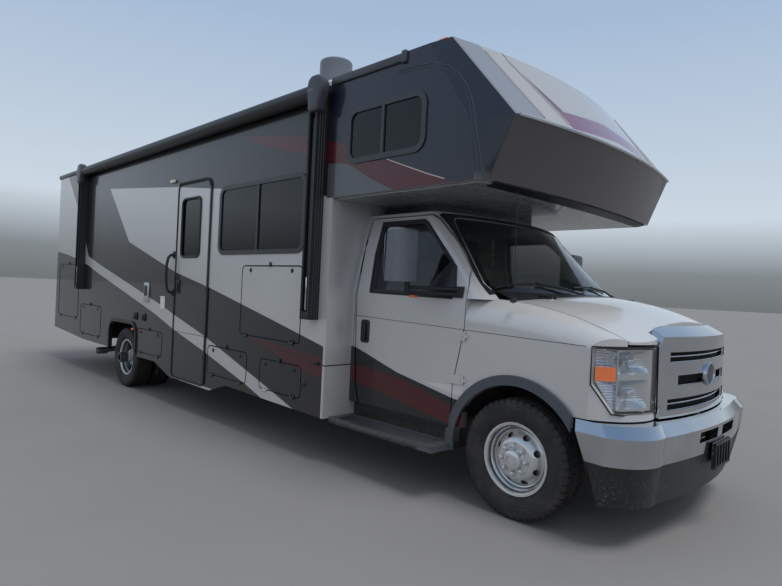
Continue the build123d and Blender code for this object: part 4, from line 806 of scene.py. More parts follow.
def tyre(s, y):
    """One tyre with its tread."""
    profile = TYRE_HALF + [(r, -out) for r, out in reversed(TYRE_HALF)] + TYRE_HALF[:1]
    piece = wheel_form(profile, s, y, TYRE_STEPS)
    centre = at(s, y, AXLE_HEIGHT)

    def strip(point, shift):
        """True on one strip of faces in each pitch of the tread."""
        angle = math.atan2(point.z - centre.z, point.x - centre.x) % math.tau
        return int(angle / math.tau * TYRE_STEPS + 0.25 + shift) % TREAD_PITCH == 0

    def radius(point):
        return math.hypot(point.z - centre.z, point.x - centre.x)

    def shoulder(point):
        out = abs(point.y - y)
        return out > 0.066 and radius(point) > 0.345 and strip(point, 0 if point.y > y else 2)

    def rib(point):
        out = abs(point.y - y)
        return 0.030 < out < 0.052 and radius(point) > 0.366 and strip(point, 1)

    for test in (shoulder, rib):
        edit(piece, test)
        bpy.ops.mesh.extrude_region_shrink_fatten(TRANSFORM_OT_shrink_fatten={"value": -TREAD_CUT})
        bpy.ops.object.mode_set(mode="OBJECT")
    return piece


FRONT_TYRE_Y = 0.879
REAR_PAIR_Y = 0.988
DUAL_HALF = 0.1335
REAR_OUTER_Y = REAR_PAIR_Y + DUAL_HALF
REAR_INNER_Y = REAR_PAIR_Y - DUAL_HALF
front_tyre = tyre(0.0, -FRONT_TYRE_Y)
rear_pair = joined([tyre(REAR_AXLE, -REAR_OUTER_Y), tyre(REAR_AXLE, -REAR_INNER_Y)])
fitted_both_sides([(front_tyre, "treaded_front_tyre", "tyre", tyre_rubber, "front_road_wheel", "front_tyre"),
                   (rear_pair, "treaded_rear_tyres", "tyre", tyre_rubber, "rear_road_wheels", "rear_tyres")],
                  32)

# %% [markdown]
# The wheels wear polished steel covers: a rolled outer ring, a dished cone with oval hand holes
# and a flat that carries eight domed nut caps round the hub. The section is spun, the holes are cut
# with a Boolean modifier, and a nut cap is turned at each of its places.

# %% Wheel covers
FRONT_COVER = [(0.2265, 0.083), (0.224, 0.087), (0.216, 0.088), (0.208, 0.085), (0.204, 0.076),
               (0.203, 0.060), (0.198, 0.052), (0.192, 0.048), (0.187, 0.038), (0.181, 0.031),
               (0.172, 0.028), (0.163, 0.032), (0.150, 0.045), (0.136, 0.062), (0.124, 0.075),
               (0.112, 0.081), (0.100, 0.083), (0.066, 0.084), (0.062, 0.087), (0.060, 0.110),
               (0.056, 0.118), (0.046, 0.123), (0.020, 0.1255), (0.0, 0.126)]
REAR_COVER = [(0.2265, 0.083), (0.224, 0.087), (0.216, 0.088), (0.208, 0.085), (0.204, 0.076),
              (0.202, 0.050), (0.199, 0.0), (0.196, -0.030), (0.188, -0.044), (0.172, -0.050),
              (0.158, -0.047), (0.146, -0.034), (0.134, -0.018), (0.122, -0.006), (0.108, 0.0),
              (0.070, 0.003), (0.066, 0.008), (0.064, 0.080), (0.060, 0.090), (0.050, 0.096),
              (0.020, 0.099), (0.0, 0.100)]
COVER_SHEET = 0.004
NUT_COUNT = 8
NUT_CIRCLE = 0.085
HAND_HOLE = (0.0225, 0.0145)
NUT = [(0.0, 0.034), (0.006, 0.0335), (0.011, 0.031), (0.0145, 0.025), (0.016, 0.014), (0.0185, 0.004),
       (0.0215, 0.0), (0.0215, -0.003), (0.0, -0.003)]
CENTRE_RING = [(0.030, 0.001), (0.030, 0.004), (0.034, 0.004), (0.034, -0.001)]


def hand_hole(centre, angle, hole_r):
    """A cutter for one oval hand hole."""
    rest()
    bpy.ops.mesh.primitive_cylinder_add(vertices=28, radius=1, depth=0.20, location=(0, 0, 0))
    cutter = bpy.context.object
    upright = Matrix.Rotation(math.pi / 2, 4, "X")
    spin = Matrix.Rotation(-angle, 4, "Y") @ Matrix.Translation((0, 0, hole_r)) @ upright
    cutter.data.transform(Matrix.Translation(centre) @ spin @ Matrix.Diagonal((*HAND_HOLE, 1.0, 1.0)))
    return cutter


def wheel_cover(profile, s, y, nut_out, hole_r):
    """A cover with hand holes, nut caps and a ringed centre."""
    centre = at(s, y, AXLE_HEIGHT)
    back = [(max(r - COVER_SHEET * 0.4, 0.0), out - COVER_SHEET) for r, out in reversed(profile)]
    shell = wheel_form([(r, -out) for r, out in profile + back + profile[:1]], s, y, 96)
    cutter = joined([hand_hole(centre, math.tau * (k + 0.5) / NUT_COUNT, hole_r) for k in range(NUT_COUNT)])
    modified(shell, "BOOLEAN", object=cutter, operation="DIFFERENCE", solver="EXACT")
    bpy.data.objects.remove(cutter)
    caps = []
    for k in range(NUT_COUNT):
        a = math.tau * k / NUT_COUNT
        spot = centre + Vector((math.cos(a) * NUT_CIRCLE, -nut_out, math.sin(a) * NUT_CIRCLE))
        caps.append(turned(NUT, spot, (0, -1, 0), 20))
    ring = turned(CENTRE_RING, centre + Vector((0, -profile[-1][1], 0)), (0, -1, 0), 40)
    return joined([shell] + caps + [ring])


BARREL = [(0.221, -0.084), (0.221, -0.077), (0.206, -0.071), (0.203, -0.050), (0.184, -0.036),
          (0.184, 0.036), (0.203, 0.050), (0.203, 0.072), (0.214, 0.078), (0.214, 0.081), (0.200, 0.070),
          (0.196, 0.046), (0.178, 0.032), (0.178, -0.032), (0.196, -0.046), (0.198, -0.066),
          (0.212, -0.084), (0.221, -0.084)]
FRONT_DISC = [(0.180, -0.012), (0.180, -0.020), (0.031, -0.046), (0.031, 0.020), (0.070, 0.020),
              (0.075, -0.030), (0.180, -0.012)]
REAR_OUTER_DISC = [(0.199, 0.060), (0.199, 0.068), (0.066, 0.100), (0.041, 0.100), (0.041, -0.175),
                   (0.062, -0.175), (0.066, 0.060), (0.199, 0.060)]
REAR_INNER_DISC = [(0.184, -0.036), (0.184, -0.046), (0.060, -0.076), (0.060, -0.040), (0.184, -0.036)]


def barrel(s, y):
    """The rolled rim behind a cover."""
    return wheel_form([(r, -out) for r, out in BARREL], s, y, 64)


front_cover = wheel_cover(FRONT_COVER, 0.0, -FRONT_TYRE_Y, 0.083, 0.146)
front_barrel = joined([barrel(0.0, -FRONT_TYRE_Y), wheel_form(FRONT_DISC, 0.0, -FRONT_TYRE_Y, 48)])
rear_cover = wheel_cover(REAR_COVER, REAR_AXLE, -REAR_OUTER_Y, 0.003, 0.150)
rear_barrels = joined([barrel(REAR_AXLE, -REAR_OUTER_Y), barrel(REAR_AXLE, -REAR_INNER_Y),
                       wheel_form(REAR_OUTER_DISC, REAR_AXLE, -REAR_OUTER_Y, 48),
                       wheel_form(REAR_INNER_DISC, REAR_AXLE, -REAR_INNER_Y, 48)])
FRONT_WHEEL = ("front_road_wheel", "front_wheel")
REAR_WHEELS = ("rear_road_wheels", "rear_wheels")
fitted_both_sides([(front_cover, "front_wheel_cover", "chrome", wheel_chrome, *FRONT_WHEEL),
                   (front_barrel, "front_rim_barrel", "bare_steel", bare_steel, *FRONT_WHEEL),
                   (rear_cover, "rear_wheel_cover", "chrome", wheel_chrome, *REAR_WHEELS),
                   (rear_barrels, "rear_rim_barrels", "bare_steel", bare_steel, *REAR_WHEELS)], 30)

# %% [markdown]
# Every outside hatch is edged with a black bulb seal and held by two turn latches and a catch over
# its upper edge. The seal is a rounded outline swept to a thin tube, half sunk in the door's face
# just inside its edge, so that it moves with the door and clears the opening.

# %% Hatches
HATCHES = {"rear_locker": (-1, -8.400, -7.430, 0.740, 1.550), "wet_bay": (-1, -7.300, -6.440, 0.540, 0.970),
           "generator": (-1, -5.165, -4.450, 0.490, 0.780), "luggage_a": (-1, -3.390, -2.645, 0.460, 0.750),
           "luggage_b": (-1, -2.440, -1.820, 0.460, 0.730), "media": (-1, -2.800, -1.860, 0.900, 1.540),
           "left_locker": (1, -8.400, -7.430, 0.740, 1.550),
           "left_luggage": (1, -3.390, -2.645, 0.460, 0.750)}
SEAL_INSET = 0.008
LATCH_BASE = [(0.0, 0.004), (0.016, 0.004), (0.019, 0.002), (0.020, 0.0), (0.020, -0.002), (0.0, -0.002)]


def latch(s, z, side):
    """A round turn latch with a paddle across it."""
    base = turned(LATCH_BASE, on_wall(s, z, 0.0, side), (0, side, 0), 28)
    paddle = rounded_block(at(s, side * WALL_Y + side * 0.0045, z), (0.009, 0.005, 0.030), 0.002)
    return joined([base, paddle])


for name, (side, x0, x1, z0, z1) in HATCHES.items():
    outline = round_rect(x0 + SEAL_INSET, x1 - SEAL_INSET, z0 + SEAL_INSET, z1 - SEAL_INSET, 0.042,
                         lambda s, z: on_wall(s, z, 0.0005, side))
    fitted(tube(outline, 0.0035, True, 1), f"{name}_seal", f"{name}_door", "black_plastic", seal_rubber, 60)
    drop = min(0.045, (z1 - z0) * 0.2)
    inset = 0.16 * (x1 - x0)
    fixings = [latch(s, z1 - drop, side) for s in (x0 + inset, x1 - inset)]
    fitted(joined(fixings), f"{name}_latches", f"{name}_door", "black_plastic", black_plastic, 40)
    catch = wall_block((x0 + x1) / 2, z1 + 0.006, 0.006, (0.028, 0.010, 0.040), 0.003, side)
    fitted(catch, f"{name}_catch", "coach", "black_plastic", black_plastic, 40)

# %% [markdown]
# The entry door has a black bulb seal round its opening, a long hinge cover down its front edge, a
# framed window and a latch. A drip strip, a porch light and an assist handle are on the wall by it.

# %% Entry door
ENTRY = (-4.184, -3.440, 0.324, 2.414)
PANE = (-4.074, -3.656, 1.626, 2.244)
surround = tube(round_rect(*ENTRY, 0.07, lambda s, z: on_wall(s, z, 0.001), 7), 0.010, True, 2)
fitted(surround, "entry_door_surround", "coach", "black_plastic", seal_rubber, 60)
trim = tube(round_rect(*PANE, 0.062, lambda s, z: on_wall(s, z, 0.001), 7), 0.014, True, 2)
fitted(trim, "entry_window_trim", "entry_door", "black_plastic", black_plastic, 60)
plate = wall_block(-4.105, 1.305, 0.004, (0.075, 0.012, 0.150), 0.004)
grip = wall_block(-4.105, 1.300, 0.014, (0.032, 0.014, 0.095), 0.006)
fitted(joined([plate, grip]), "entry_latch", "entry_door", "black_plastic", black_plastic, 40)

HANDLE = [(-4.235, 1.235, 0.004), (-4.240, 1.240, 0.040), (-4.252, 1.275, 0.062), (-4.262, 1.36, 0.070),
          (-4.264, 1.45, 0.072), (-4.260, 1.54, 0.070), (-4.250, 1.61, 0.062), (-4.238, 1.645, 0.040),
          (-4.232, 1.650, 0.004)]
bar = tube([on_wall(*place) for place in HANDLE], 0.015, False, 4)
feet = [wall_block(-4.235, z, 0.006, (0.050, 0.014, 0.075), 0.005) for z in (1.235, 1.650)]
fitted(joined([bar] + feet), "entry_grab_handle", "coach", "black_plastic", black_plastic, 40)
hinge_cover = wall_block(-3.441, 1.335, 0.006, (0.030, 0.016, 1.98), 0.005)
fitted(hinge_cover, "entry_hinge_cover", "coach", "black_plastic", black_plastic, 50)
DRIP_EDGE = [(-4.150, 2.418), (-3.560, 2.418), (-3.490, 2.398), (-3.446, 2.340)]
drip_strip = tube([on_wall(s, z, 0.006) for s, z in DRIP_EDGE], 0.013, False, 3)
fitted(drip_strip, "entry_drip_strip", "coach", "black_plastic", seal_rubber, 50)
porch = wall_block(-4.320, 2.464, 0.012, (0.120, 0.026, 0.034), 0.010, segments=4)
fitted(porch, "porch_light", "coach", "clear_lamp", pale_lens, 50)

# %% [markdown]
# The over-cab cap has a bright moulding along its ridge, low ribs running up its upper face, an
# arched joint where the nose piece meets the side, a strip of small louvres under the front edge,
# and small amber lamps over its corners and its middle. All of these follow the cap's surface, so
# the surface is written down once: straight sides that draw in to a bowed front, at three heights.

# %% The cap's surface
CAP_ROWS = [(2.060, 1.205, -0.105, -0.025, -0.190), (2.430, 1.192, 0.050, 0.178, -0.235),
            (2.990, 1.238, -0.420, -0.255, -0.600)]


def bow(corner, nose, half, y):
    """The station of a bowed edge at a distance from the centre line."""
    rise = nose - corner
    radius = (half * half + rise * rise) / (2 * rise)
    return nose - radius + math.sqrt(radius * radius - y * y)


def cap_row(z):
    """Half width, corner, nose and start of the taper at a height."""
    low, high = (CAP_ROWS[0], CAP_ROWS[1]) if z <= RIDGE_Z else (CAP_ROWS[1], CAP_ROWS[2])
    share = (z - low[0]) / (high[0] - low[0])
    return [a + (b - a) * share for a, b in zip(low[1:], high[1:])]


def cap_front(y, z, out=0.0):
    """A point on the cap's front, a distance ahead of it."""
    half, corner, nose = cap_row(z)[:3]
    return at(bow(corner, nose, half, y) + out, y, z)


def cap_side(s, z, side, out=0.0):
    """A point on the cap's side, a distance outside it."""
    half, corner, _, turn = cap_row(z)
    y = WALL_Y if s <= turn else WALL_Y + (half - WALL_Y) * (s - turn) / (corner - turn)
    return at(s, side * (y + out), z)


print("ridge at the centre", [round(v, 3) for v in cap_front(0.0, RIDGE_Z)])

# %% Ridge moulding, ribs and arched joints
RIDGE_HALF = 1.17
ridge = tube([cap_front(RIDGE_HALF * (k / 20 - 1), RIDGE_Z, 0.005) for k in range(41)], 0.011, False, 3)
fitted(ridge, "cap_ridge_moulding", "coach", "chrome", bright_trim, 60)


def face_rib(low, high, side):
    """A low rib up the cap's face, from one (side, height) to another."""
    route = [Vector(low).lerp(Vector(high), k / 8) for k in range(9)]
    return tube([cap_front(side * y, z, -0.005) for y, z in route], 0.011, False, 4)


ARCH = [(-0.86, 2.872), (-0.70, 2.868), (-0.56, 2.852), (-0.435, 2.807), (-0.35, 2.735), (-0.285, 2.650),
        (-0.238, 2.547), (-0.200, 2.40), (-0.170, 2.25), (-0.145, 2.082)]
for tag, side in SIDES.items():
    ribs = [face_rib((0.925, 2.462), (1.015, 2.945), side), face_rib((0.668, 2.475), (0.835, 2.940), side)]
    fitted(joined(ribs), f"cap_face_ribs_{tag}", "coach", "cap_paint", rib_silver, 60)
    seam = tube([cap_side(s, z, side) for s, z in ARCH], 0.0045)
    inner = tube([cap_side(s - 0.022, z - (0.020 if s < -0.40 else 0.0), side) for s, z in ARCH], 0.003)
    fitted(joined([seam, inner]), f"cap_arch_joint_{tag}", "coach", "black_plastic", awning_grey, 60)
    corner_lamp = rounded_block(at(-0.520, side * 1.205, 3.004), (0.075, 0.032, 0.020), 0.008)
    fitted(corner_lamp, f"cap_corner_lamp_{tag}", "coach", "red_lamp", amber_lens, 50)
markers = [rounded_block(cap_front(y, 2.990, -0.150) + Vector((0, 0, 0.012)), (0.045, 0.085, 0.026), 0.008)
           for y in (-0.22, 0.0, 0.22)]
fitted(joined(markers), "cap_clearance_lamps", "coach", "red_lamp", amber_lens, 50)

# %% Air strip under the cap's front edge
STRIP_CELLS = 96
STRIP_HALF = 1.14
STRIP_Z = 2.0555


def strip_point(u, v):
    """A point along the strip and across it, from the cap's edge inwards."""
    y = STRIP_HALF * (2 * u - 1)
    half, corner, nose = CAP_ROWS[0][1:4]
    front = bow(corner, nose, half, y)
    inner = at(front - 0.095 - 0.035 * (1 - (y / STRIP_HALF) ** 2), y * 0.985, STRIP_Z - 0.012)
    return at(front - 0.014, y, STRIP_Z).lerp(inner, v)


strip = sheet(STRIP_CELLS, 1, strip_point)
edit(strip)
bpy.ops.mesh.inset(thickness=0.0045, depth=0.0, use_individual=True)
bpy.ops.mesh.extrude_region_shrink_fatten(TRANSFORM_OT_shrink_fatten={"value": -0.004})
bpy.ops.object.mode_set(mode="OBJECT")
outward(modified(strip, "SOLIDIFY", thickness=0.006, offset=0.0))
fitted(strip, "cap_air_strip", "coach", "black_plastic", black_plastic, 30)

# %% [markdown]
# The awning is a fabric roll under a moulded cover, with turned end caps and two arms that fold flat
# against the wall. Each arm gets a dark slide bar, a bright stay, fine flutes and a casting at its
# head. Moulded rails run on along the roof's edges.

# %% Awning details
AWNING_ENDS = ((-7.390, -1), (-1.650, 1))
AWNING_Z = 2.885
AWNING_CAP = [(0.0, 0.012), (0.040, 0.011), (0.056, 0.006), (0.0655, 0.0), (0.0665, -0.03),
              (0.0665, -0.085), (0.061, -0.087), (0.0, -0.087)]
caps = [turned(AWNING_CAP, on_wall(s, AWNING_Z, 0.062), (out, 0, 0), 40) for s, out in AWNING_ENDS]
fitted(joined(caps), "awning_end_caps", "coach", "black_plastic", grey_plastic, 40)

ARMS = ((-7.250, 1.180), (-1.690, 1.115))
ARM_TOP = 2.70
bars, stays, flutes = [], [], []
for s, foot in ARMS:
    middle = (foot + ARM_TOP) / 2 + 0.03
    bars.append(wall_block(s, middle, 0.070, (0.030, 0.030, ARM_TOP - foot - 0.10), 0.006))
    stays.append(wall_block(s, foot + 0.20, 0.088, (0.016, 0.012, 0.26), 0.005))
    lines = [(s + 0.0555, out) for out in (0.022, 0.046, 0.070)]
    lines += [(s - 0.048, 0.1005), (s + 0.048, 0.1005)]
    for place, out in lines:
        flutes.append(tube([on_wall(place, foot + 0.01, out), on_wall(place, ARM_TOP + 0.10, out)], 0.0035))
fitted(joined(bars), "awning_slide_bars", "coach", "black_plastic", black_plastic, 40)
fitted(joined(stays), "awning_bright_stays", "coach", "chrome", chrome, 40)
fitted(joined(flutes), "awning_arm_flutes", "coach", "black_plastic", frame_grey, 60)
CASTING = [(-0.074, 2.715), (-0.080, 2.790), (-0.092, 2.865), (-0.095, 2.925), (-0.080, 2.972),
           (-0.040, 2.996), (0.030, 2.996), (0.075, 2.970), (0.095, 2.920), (0.086, 2.850),
           (0.056, 2.780), (0.046, 2.715)]
castings = [panel([on_wall(s + ds, z, 0.040) for ds, z in CASTING], (0, -0.088, 0), 0.022, 4)
            for s in (-7.235, -1.660)]
fitted(joined(castings), "awning_arm_castings", "coach", "black_plastic", awning_grey, 50)
lip = tube([on_wall(s, 2.946, 0.034) for s in (-7.38, -1.66)], 0.008, False, 3)
fitted(lip, "awning_case_lip", "coach", "black_plastic", frame_grey, 60)

# %% Rails along the roof's edges
RAIL_Z = 2.952
RAILS = {"right": ((-1.560, -0.835), (-8.600, -7.420)), "left": ((-1.600, -0.835), (-8.600, -1.600))}
for tag, side in SIDES.items():
    rails = [wall_block((a + b) / 2, RAIL_Z, 0.004, (b - a, 0.026, 0.058), 0.009, side)
             for a, b in RAILS[tag]]
    rails.append(wall_block(-0.818, 2.956, 0.003, (0.045, 0.034, 0.088), 0.010, side))
    fitted(joined(rails), f"roof_rail_{tag}", "coach", "black_plastic", awning_grey, 50)

# %% [markdown]
# The cab's side fittings: black seals and borders round the panes, the mirrors' faces, door handles
# in shallow cups, the amber repeaters under the mirrors and the aerial.


# %% Cab side: pane seals and borders, mirrors, handles and aerial
BELT_Z = 1.340
CAB_TOP_Z = 1.965
CAB_TOP_Y = 0.852


def cab_side(s, z, side, out=0.0):
    """A point a distance outside the cab's side, which leans in above the belt."""
    lean = max(z - BELT_Z, 0.0) / (CAB_TOP_Z - BELT_Z)
    return at(s, side * (CAB_Y + (CAB_TOP_Y - CAB_Y) * lean + out), z)


PANE_EDGE = [(-1.337, 1.352), (-0.531, 1.340), (-0.504, 1.368), (-0.541, 1.551), (-0.880, 1.880),
             (-0.917, 1.900), (-1.346, 1.900), (-1.362, 1.640)]
PANE_MIDDLE = (-0.955, 1.630)
PANE_INNER = [(PANE_MIDDLE[0] + (s - PANE_MIDDLE[0]) * 0.925, PANE_MIDDLE[1] + (z - PANE_MIDDLE[1]) * 0.90)
              for s, z in PANE_EDGE]
OUTER_RING = PANE_EDGE + PANE_EDGE[:1]
INNER_RING = PANE_INNER + PANE_INNER[:1]
SAIL = [(-0.535, 1.350), (-0.508, 1.372), (-0.543, 1.545), (-0.590, 1.592), (-0.735, 1.430), (-0.742, 1.350)]
for tag, side in SIDES.items():
    door = f"cab_door_{tag}"
    seal = tube([cab_side(s, z, side, 0.001) for s, z in PANE_EDGE], 0.011, True, 2)
    fitted(seal, f"cab_pane_seal_{tag}", door, "black_plastic", seal_rubber, 60)
    border = sheet(64, 2, lambda u, v: cab_side(*across(OUTER_RING, INNER_RING, u, v), side, 0.0015))
    sail = panel([cab_side(s, z, side, 0.002) for s, z in SAIL], (0, side * 0.010, 0), 0.003)
    post = tube([cab_side(s, z, side, 0.006) for s, z in ((-0.735, 1.350), (-0.728, 1.475))], 0.007)
    fitted(joined([border, sail, post]), f"cab_pane_border_{tag}", door, "black_plastic", black_plastic, 30)
    face = panel(round_rect(-1.300, -1.100, 1.462, 1.770, 0.030, lambda y, z: at(-0.8815, -side * y, z)),
                 (-0.004, 0, 0), 0.0015)
    fitted(face, f"mirror_face_{tag}", door, "chrome", mirror_glass, 40)
    cup = panel(round_rect(-1.425, -1.325, 0.955, 1.135, 0.025, lambda s, z: cab_side(s, z, side, -0.004)),
                (0, side * 0.008, 0), 0.003)
    lever = rounded_block(cab_side(-1.378, 1.045, side, 0.010), (0.034, 0.018, 0.130), 0.007)
    fitted(joined([cup, lever]), f"cab_door_handle_{tag}", door, "black_plastic", black_plastic, 40)
    repeater = rounded_block(at(-0.762, side * 1.120, 1.338), (0.050, 0.050, 0.016), 0.005)
    fitted(repeater, f"mirror_repeater_{tag}", door, "red_lamp", amber_lens, 40)
AERIAL_FOOT = [(0.0, 0.030), (0.010, 0.028), (0.018, 0.012), (0.024, 0.0), (0.0, -0.01)]
foot = turned(AERIAL_FOOT, at(-0.046, -0.985, 1.335), (0, 0, 1), 24)
whip = tube([at(-0.046, -0.985, 1.35), at(-0.047, -0.986, 1.60), at(-0.050, -0.988, 2.02)], 0.0022, False, 1)
fitted(joined([foot, whip]), "aerial", "coach", "black_plastic", black_plastic, 40)

# %% [markdown]
# The screen sits in a broad black border that laps the pillars, over a black cowl with two wipers.
# The border and the cowl are sheets laid over the body's own surface.


# %% Screen border, cowl and wipers
def screen_front(y, z, out=0.0):
    """A point on the cab's sloping front, a distance ahead of it, with the rounding at its corners."""
    share = (z - BELT_Z) / (CAB_TOP_Z - BELT_Z)
    half = CAB_Y + (CAB_TOP_Y - CAB_Y) * share
    front = bow(-0.300 - 0.530 * share, 0.035 - 0.685 * share, half, y)
    rounded_off = 21.0 * max(abs(y) - (half - 0.045), 0.0) ** 2
    return at(front - rounded_off + out, y, z)


BORDER_OUT = [(0.915, 1.372), (0.918, 1.40), (0.917, 1.45), (0.904, 1.52), (0.884, 1.58), (0.857, 1.65),
              (0.846, 1.72), (0.835, 1.80), (0.833, 1.86), (0.834, 1.90), (0.838, 1.935), (0.815, 1.954),
              (0.55, 1.957), (0.28, 1.957), (0.0, 1.957)]
BORDER_IN = [(0.835, 1.386), (0.878, 1.402), (0.895, 1.45), (0.875, 1.52), (0.858, 1.58), (0.837, 1.65),
             (0.817, 1.72), (0.794, 1.80), (0.777, 1.86), (0.766, 1.896), (0.741, 1.921), (0.70, 1.930),
             (0.50, 1.930), (0.25, 1.930), (0.0, 1.930)]


def border_half(side):
    """The border of one half of the screen."""

    def face(u, v):
        y, z = across(BORDER_OUT, BORDER_IN, u, v)
        return screen_front(side * y, z, 0.003)

    return sheet(112, 6, face)


halves = [border_half(-1), border_half(1)]
fitted(joined(halves), "screen_border", "coach", "black_plastic", black_plastic, 40)
COWL_HALF = 0.872
COWL_BOW_RADIUS = 2.288
COWL_NOSE = 0.066


def cowl_point(u, v):
    """A point along the cowl and across it, from the screen to the hood."""
    y = COWL_HALF * (2 * u - 1)
    rear = screen_front(y, 1.398, 0.006)
    bowed = COWL_NOSE - COWL_BOW_RADIUS + math.sqrt(COWL_BOW_RADIUS ** 2 - y * y)
    front = at(bowed - 0.006, y, 1.389 - 0.077 * y * y)
    return rear.lerp(front, v) + Vector((0, 0, 0.010 * math.sin(math.pi * v) - 0.006 * v ** 6))


fitted(sheet(80, 12, cowl_point), "screen_cowl", "coach", "black_plastic", black_plastic, 40)
WIPER_PIVOT = [(0.0, 0.016), (0.012, 0.014), (0.018, 0.004), (0.018, -0.02), (0.0, -0.02)]


def wiper(blade, reach, pivot):
    """A blade, the arm that reaches it and the pivot's cap."""
    knee = ((reach[0] + pivot[0]) / 2, 1.440)
    arm = [screen_front(*reach, 0.024), screen_front(*knee, 0.036), screen_front(*pivot, 0.026)]
    return [tube([screen_front(y, z, 0.014) for y, z in blade], 0.006, False, 2), tube(arm, 0.008, False, 2),
            turned(WIPER_PIVOT, screen_front(*pivot, 0.020), (0.5, 0, 1), 24)]


RIGHT_BLADE = [(-0.86, 1.418), (-0.70, 1.452), (-0.51, 1.467), (-0.306, 1.452)]
LEFT_BLADE = [(-0.16, 1.452), (0.02, 1.464), (0.20, 1.460), (0.40, 1.436)]
wipers = wiper(RIGHT_BLADE, (-0.52, 1.466), (-0.14, 1.402)) + wiper(LEFT_BLADE, (0.12, 1.463), (0.50, 1.400))
fitted(joined(wipers), "wipers", "coach", "black_plastic", black_plastic, 40)

# %% [markdown]
# Behind each clear headlamp lens a bright reflector holds two bowls, one over the other, with an
# amber block beside them. The reflector is one sheet whose depth behind the lens changes from place
# to place, and a black gasket runs round the lens.

# %% Headlamp reflectors
LENS_OUT = [(0.480, 0.974), (0.528, 0.946), (0.572, 0.915), (0.612, 0.872), (0.640, 0.786), (0.664, 0.706),
            (0.684, 0.630)]
LENS_BACK = [(0.480, 0.886), (0.505, 0.850), (0.528, 0.815), (0.550, 0.780), (0.578, 0.728), (0.600, 0.684),
             (0.618, 0.630)]
BOWLS = ((1.032, 0.062), (0.853, 0.078))
BOWL_U = 0.65
BULB = [(0.0, 0.030), (0.012, 0.028), (0.022, 0.019), (0.026, 0.006), (0.026, -0.012), (0.0, -0.012)]
LENS_RIM = [(0.474, 0.985, 1.113), (0.474, 0.985, 0.902), (0.522, 0.957, 0.828), (0.572, 0.924, 0.747),
            (0.613, 0.884, 0.742), (0.650, 0.762, 0.739), (0.690, 0.624, 0.736), (0.690, 0.624, 1.121),
            (0.650, 0.762, 1.119), (0.613, 0.884, 1.117), (0.572, 0.924, 1.115)]


def lamp_point(side, u, v, depth):
    """A point in the lamp: along it, up it and behind the lens."""
    low = 0.912 - 0.155 * min(u / 0.33, 1.0) - 0.012 * max(u - 0.33, 0.0)
    z = low + 0.006 + (1.106 - low - 0.012) * v
    s, y = across(LENS_OUT, LENS_BACK, u, depth)
    return at(s, side * y, z)


def lamp_depth(u, z):
    """How far behind the lens the reflector lies, as a share of the lamp's depth."""
    if u < 0.38:
        return 0.30 + 0.03 * math.sin(z * 420)
    aside = (u - BOWL_U) / 0.245
    for middle, half in BOWLS:
        up = (z - middle) / half
        if abs(aside) < 1 and abs(up) < 1:
            return 0.12 + 0.76 * (1 - aside ** 4) * (1 - up ** 4) + 0.012 * math.sin(z * 500)
    return 0.12


def reflector(side):
    """The bright sheet with its two bowls."""

    def face(u, v):
        z = lamp_point(side, u, v, 0.0).z
        return lamp_point(side, u, v, lamp_depth(u, z))

    return sheet(72, 84, face)


def amber_block(side):
    """The amber block beside the bowls."""

    def face(u, v):
        spot = lamp_point(side, 0.02 + 0.345 * u, 0.5, 0.13)
        return Vector((spot.x, spot.y, 0.925 + 0.078 * v))

    return modified(sheet(10, 8, face), "SOLIDIFY", thickness=0.006, offset=0.0)


for tag, side in SIDES.items():
    spot = lamp_point(side, BOWL_U, 0.5, 0.80)
    bright = [reflector(side)]
    bright += [turned(BULB, (spot.x, spot.y, z), (0.8, side * 0.5, 0), 28) for z, half in BOWLS]
    fitted(joined(bright), f"headlamp_reflector_{tag}", "coach", "chrome", lamp_silver, 30)
    fitted(amber_block(side), f"headlamp_amber_{tag}", "coach", "red_lamp", amber_lens, 40)
    gasket = tube([at(s, side * y, z) for s, y, z in LENS_RIM], 0.0045, True, 2)
    fitted(gasket, f"headlamp_gasket_{tag}", "coach", "black_plastic", seal_rubber, 60)

# %% [markdown]
# The grille's openings are edged in chrome and backed by a fine black lattice, with a bright bar
# across the upper and the lower one and a dark radiator behind. An oval badge with a bare dark face
# sits in the middle. The bumper's slots are backed too, and the plate bracket has ribs.


# %% Grille, bumper slots and plate bracket
NOSE = 0.770
NOSE_RADIUS = 2.458


def nose_point(share, half, z, behind, widen=0.0):
    """A point behind the cab's bowed nose, a share of a half width from the centre line."""
    y = share * half
    station = NOSE - NOSE_RADIUS + math.sqrt(NOSE_RADIUS ** 2 - y * y) - behind
    return at(station, share * (half + widen), z)


def across_nose(half, z, behind, widen=0.0):
    """A route across the nose at one height."""
    return [nose_point(k / 12 - 1, half, z, behind, widen) for k in range(25)]


def lattice(z0, z1, half):
    """The fine mesh behind one slot."""

    def face(u, v):
        return nose_point(2 * u - 1, half, z0 - 0.004 + (z1 - z0 + 0.008) * v, 0.030, 0.004)

    return modified(sheet(int(half * 150), 5, face), "WIREFRAME", thickness=0.0032)


def slot_lip(z0, z1, half):
    """The bright edge round one slot."""
    upper = across_nose(half, z1 + 0.004, -0.001)
    lower = across_nose(half, z0 - 0.004, -0.001)
    return tube(upper + lower[::-1], 0.0075, True, 3)


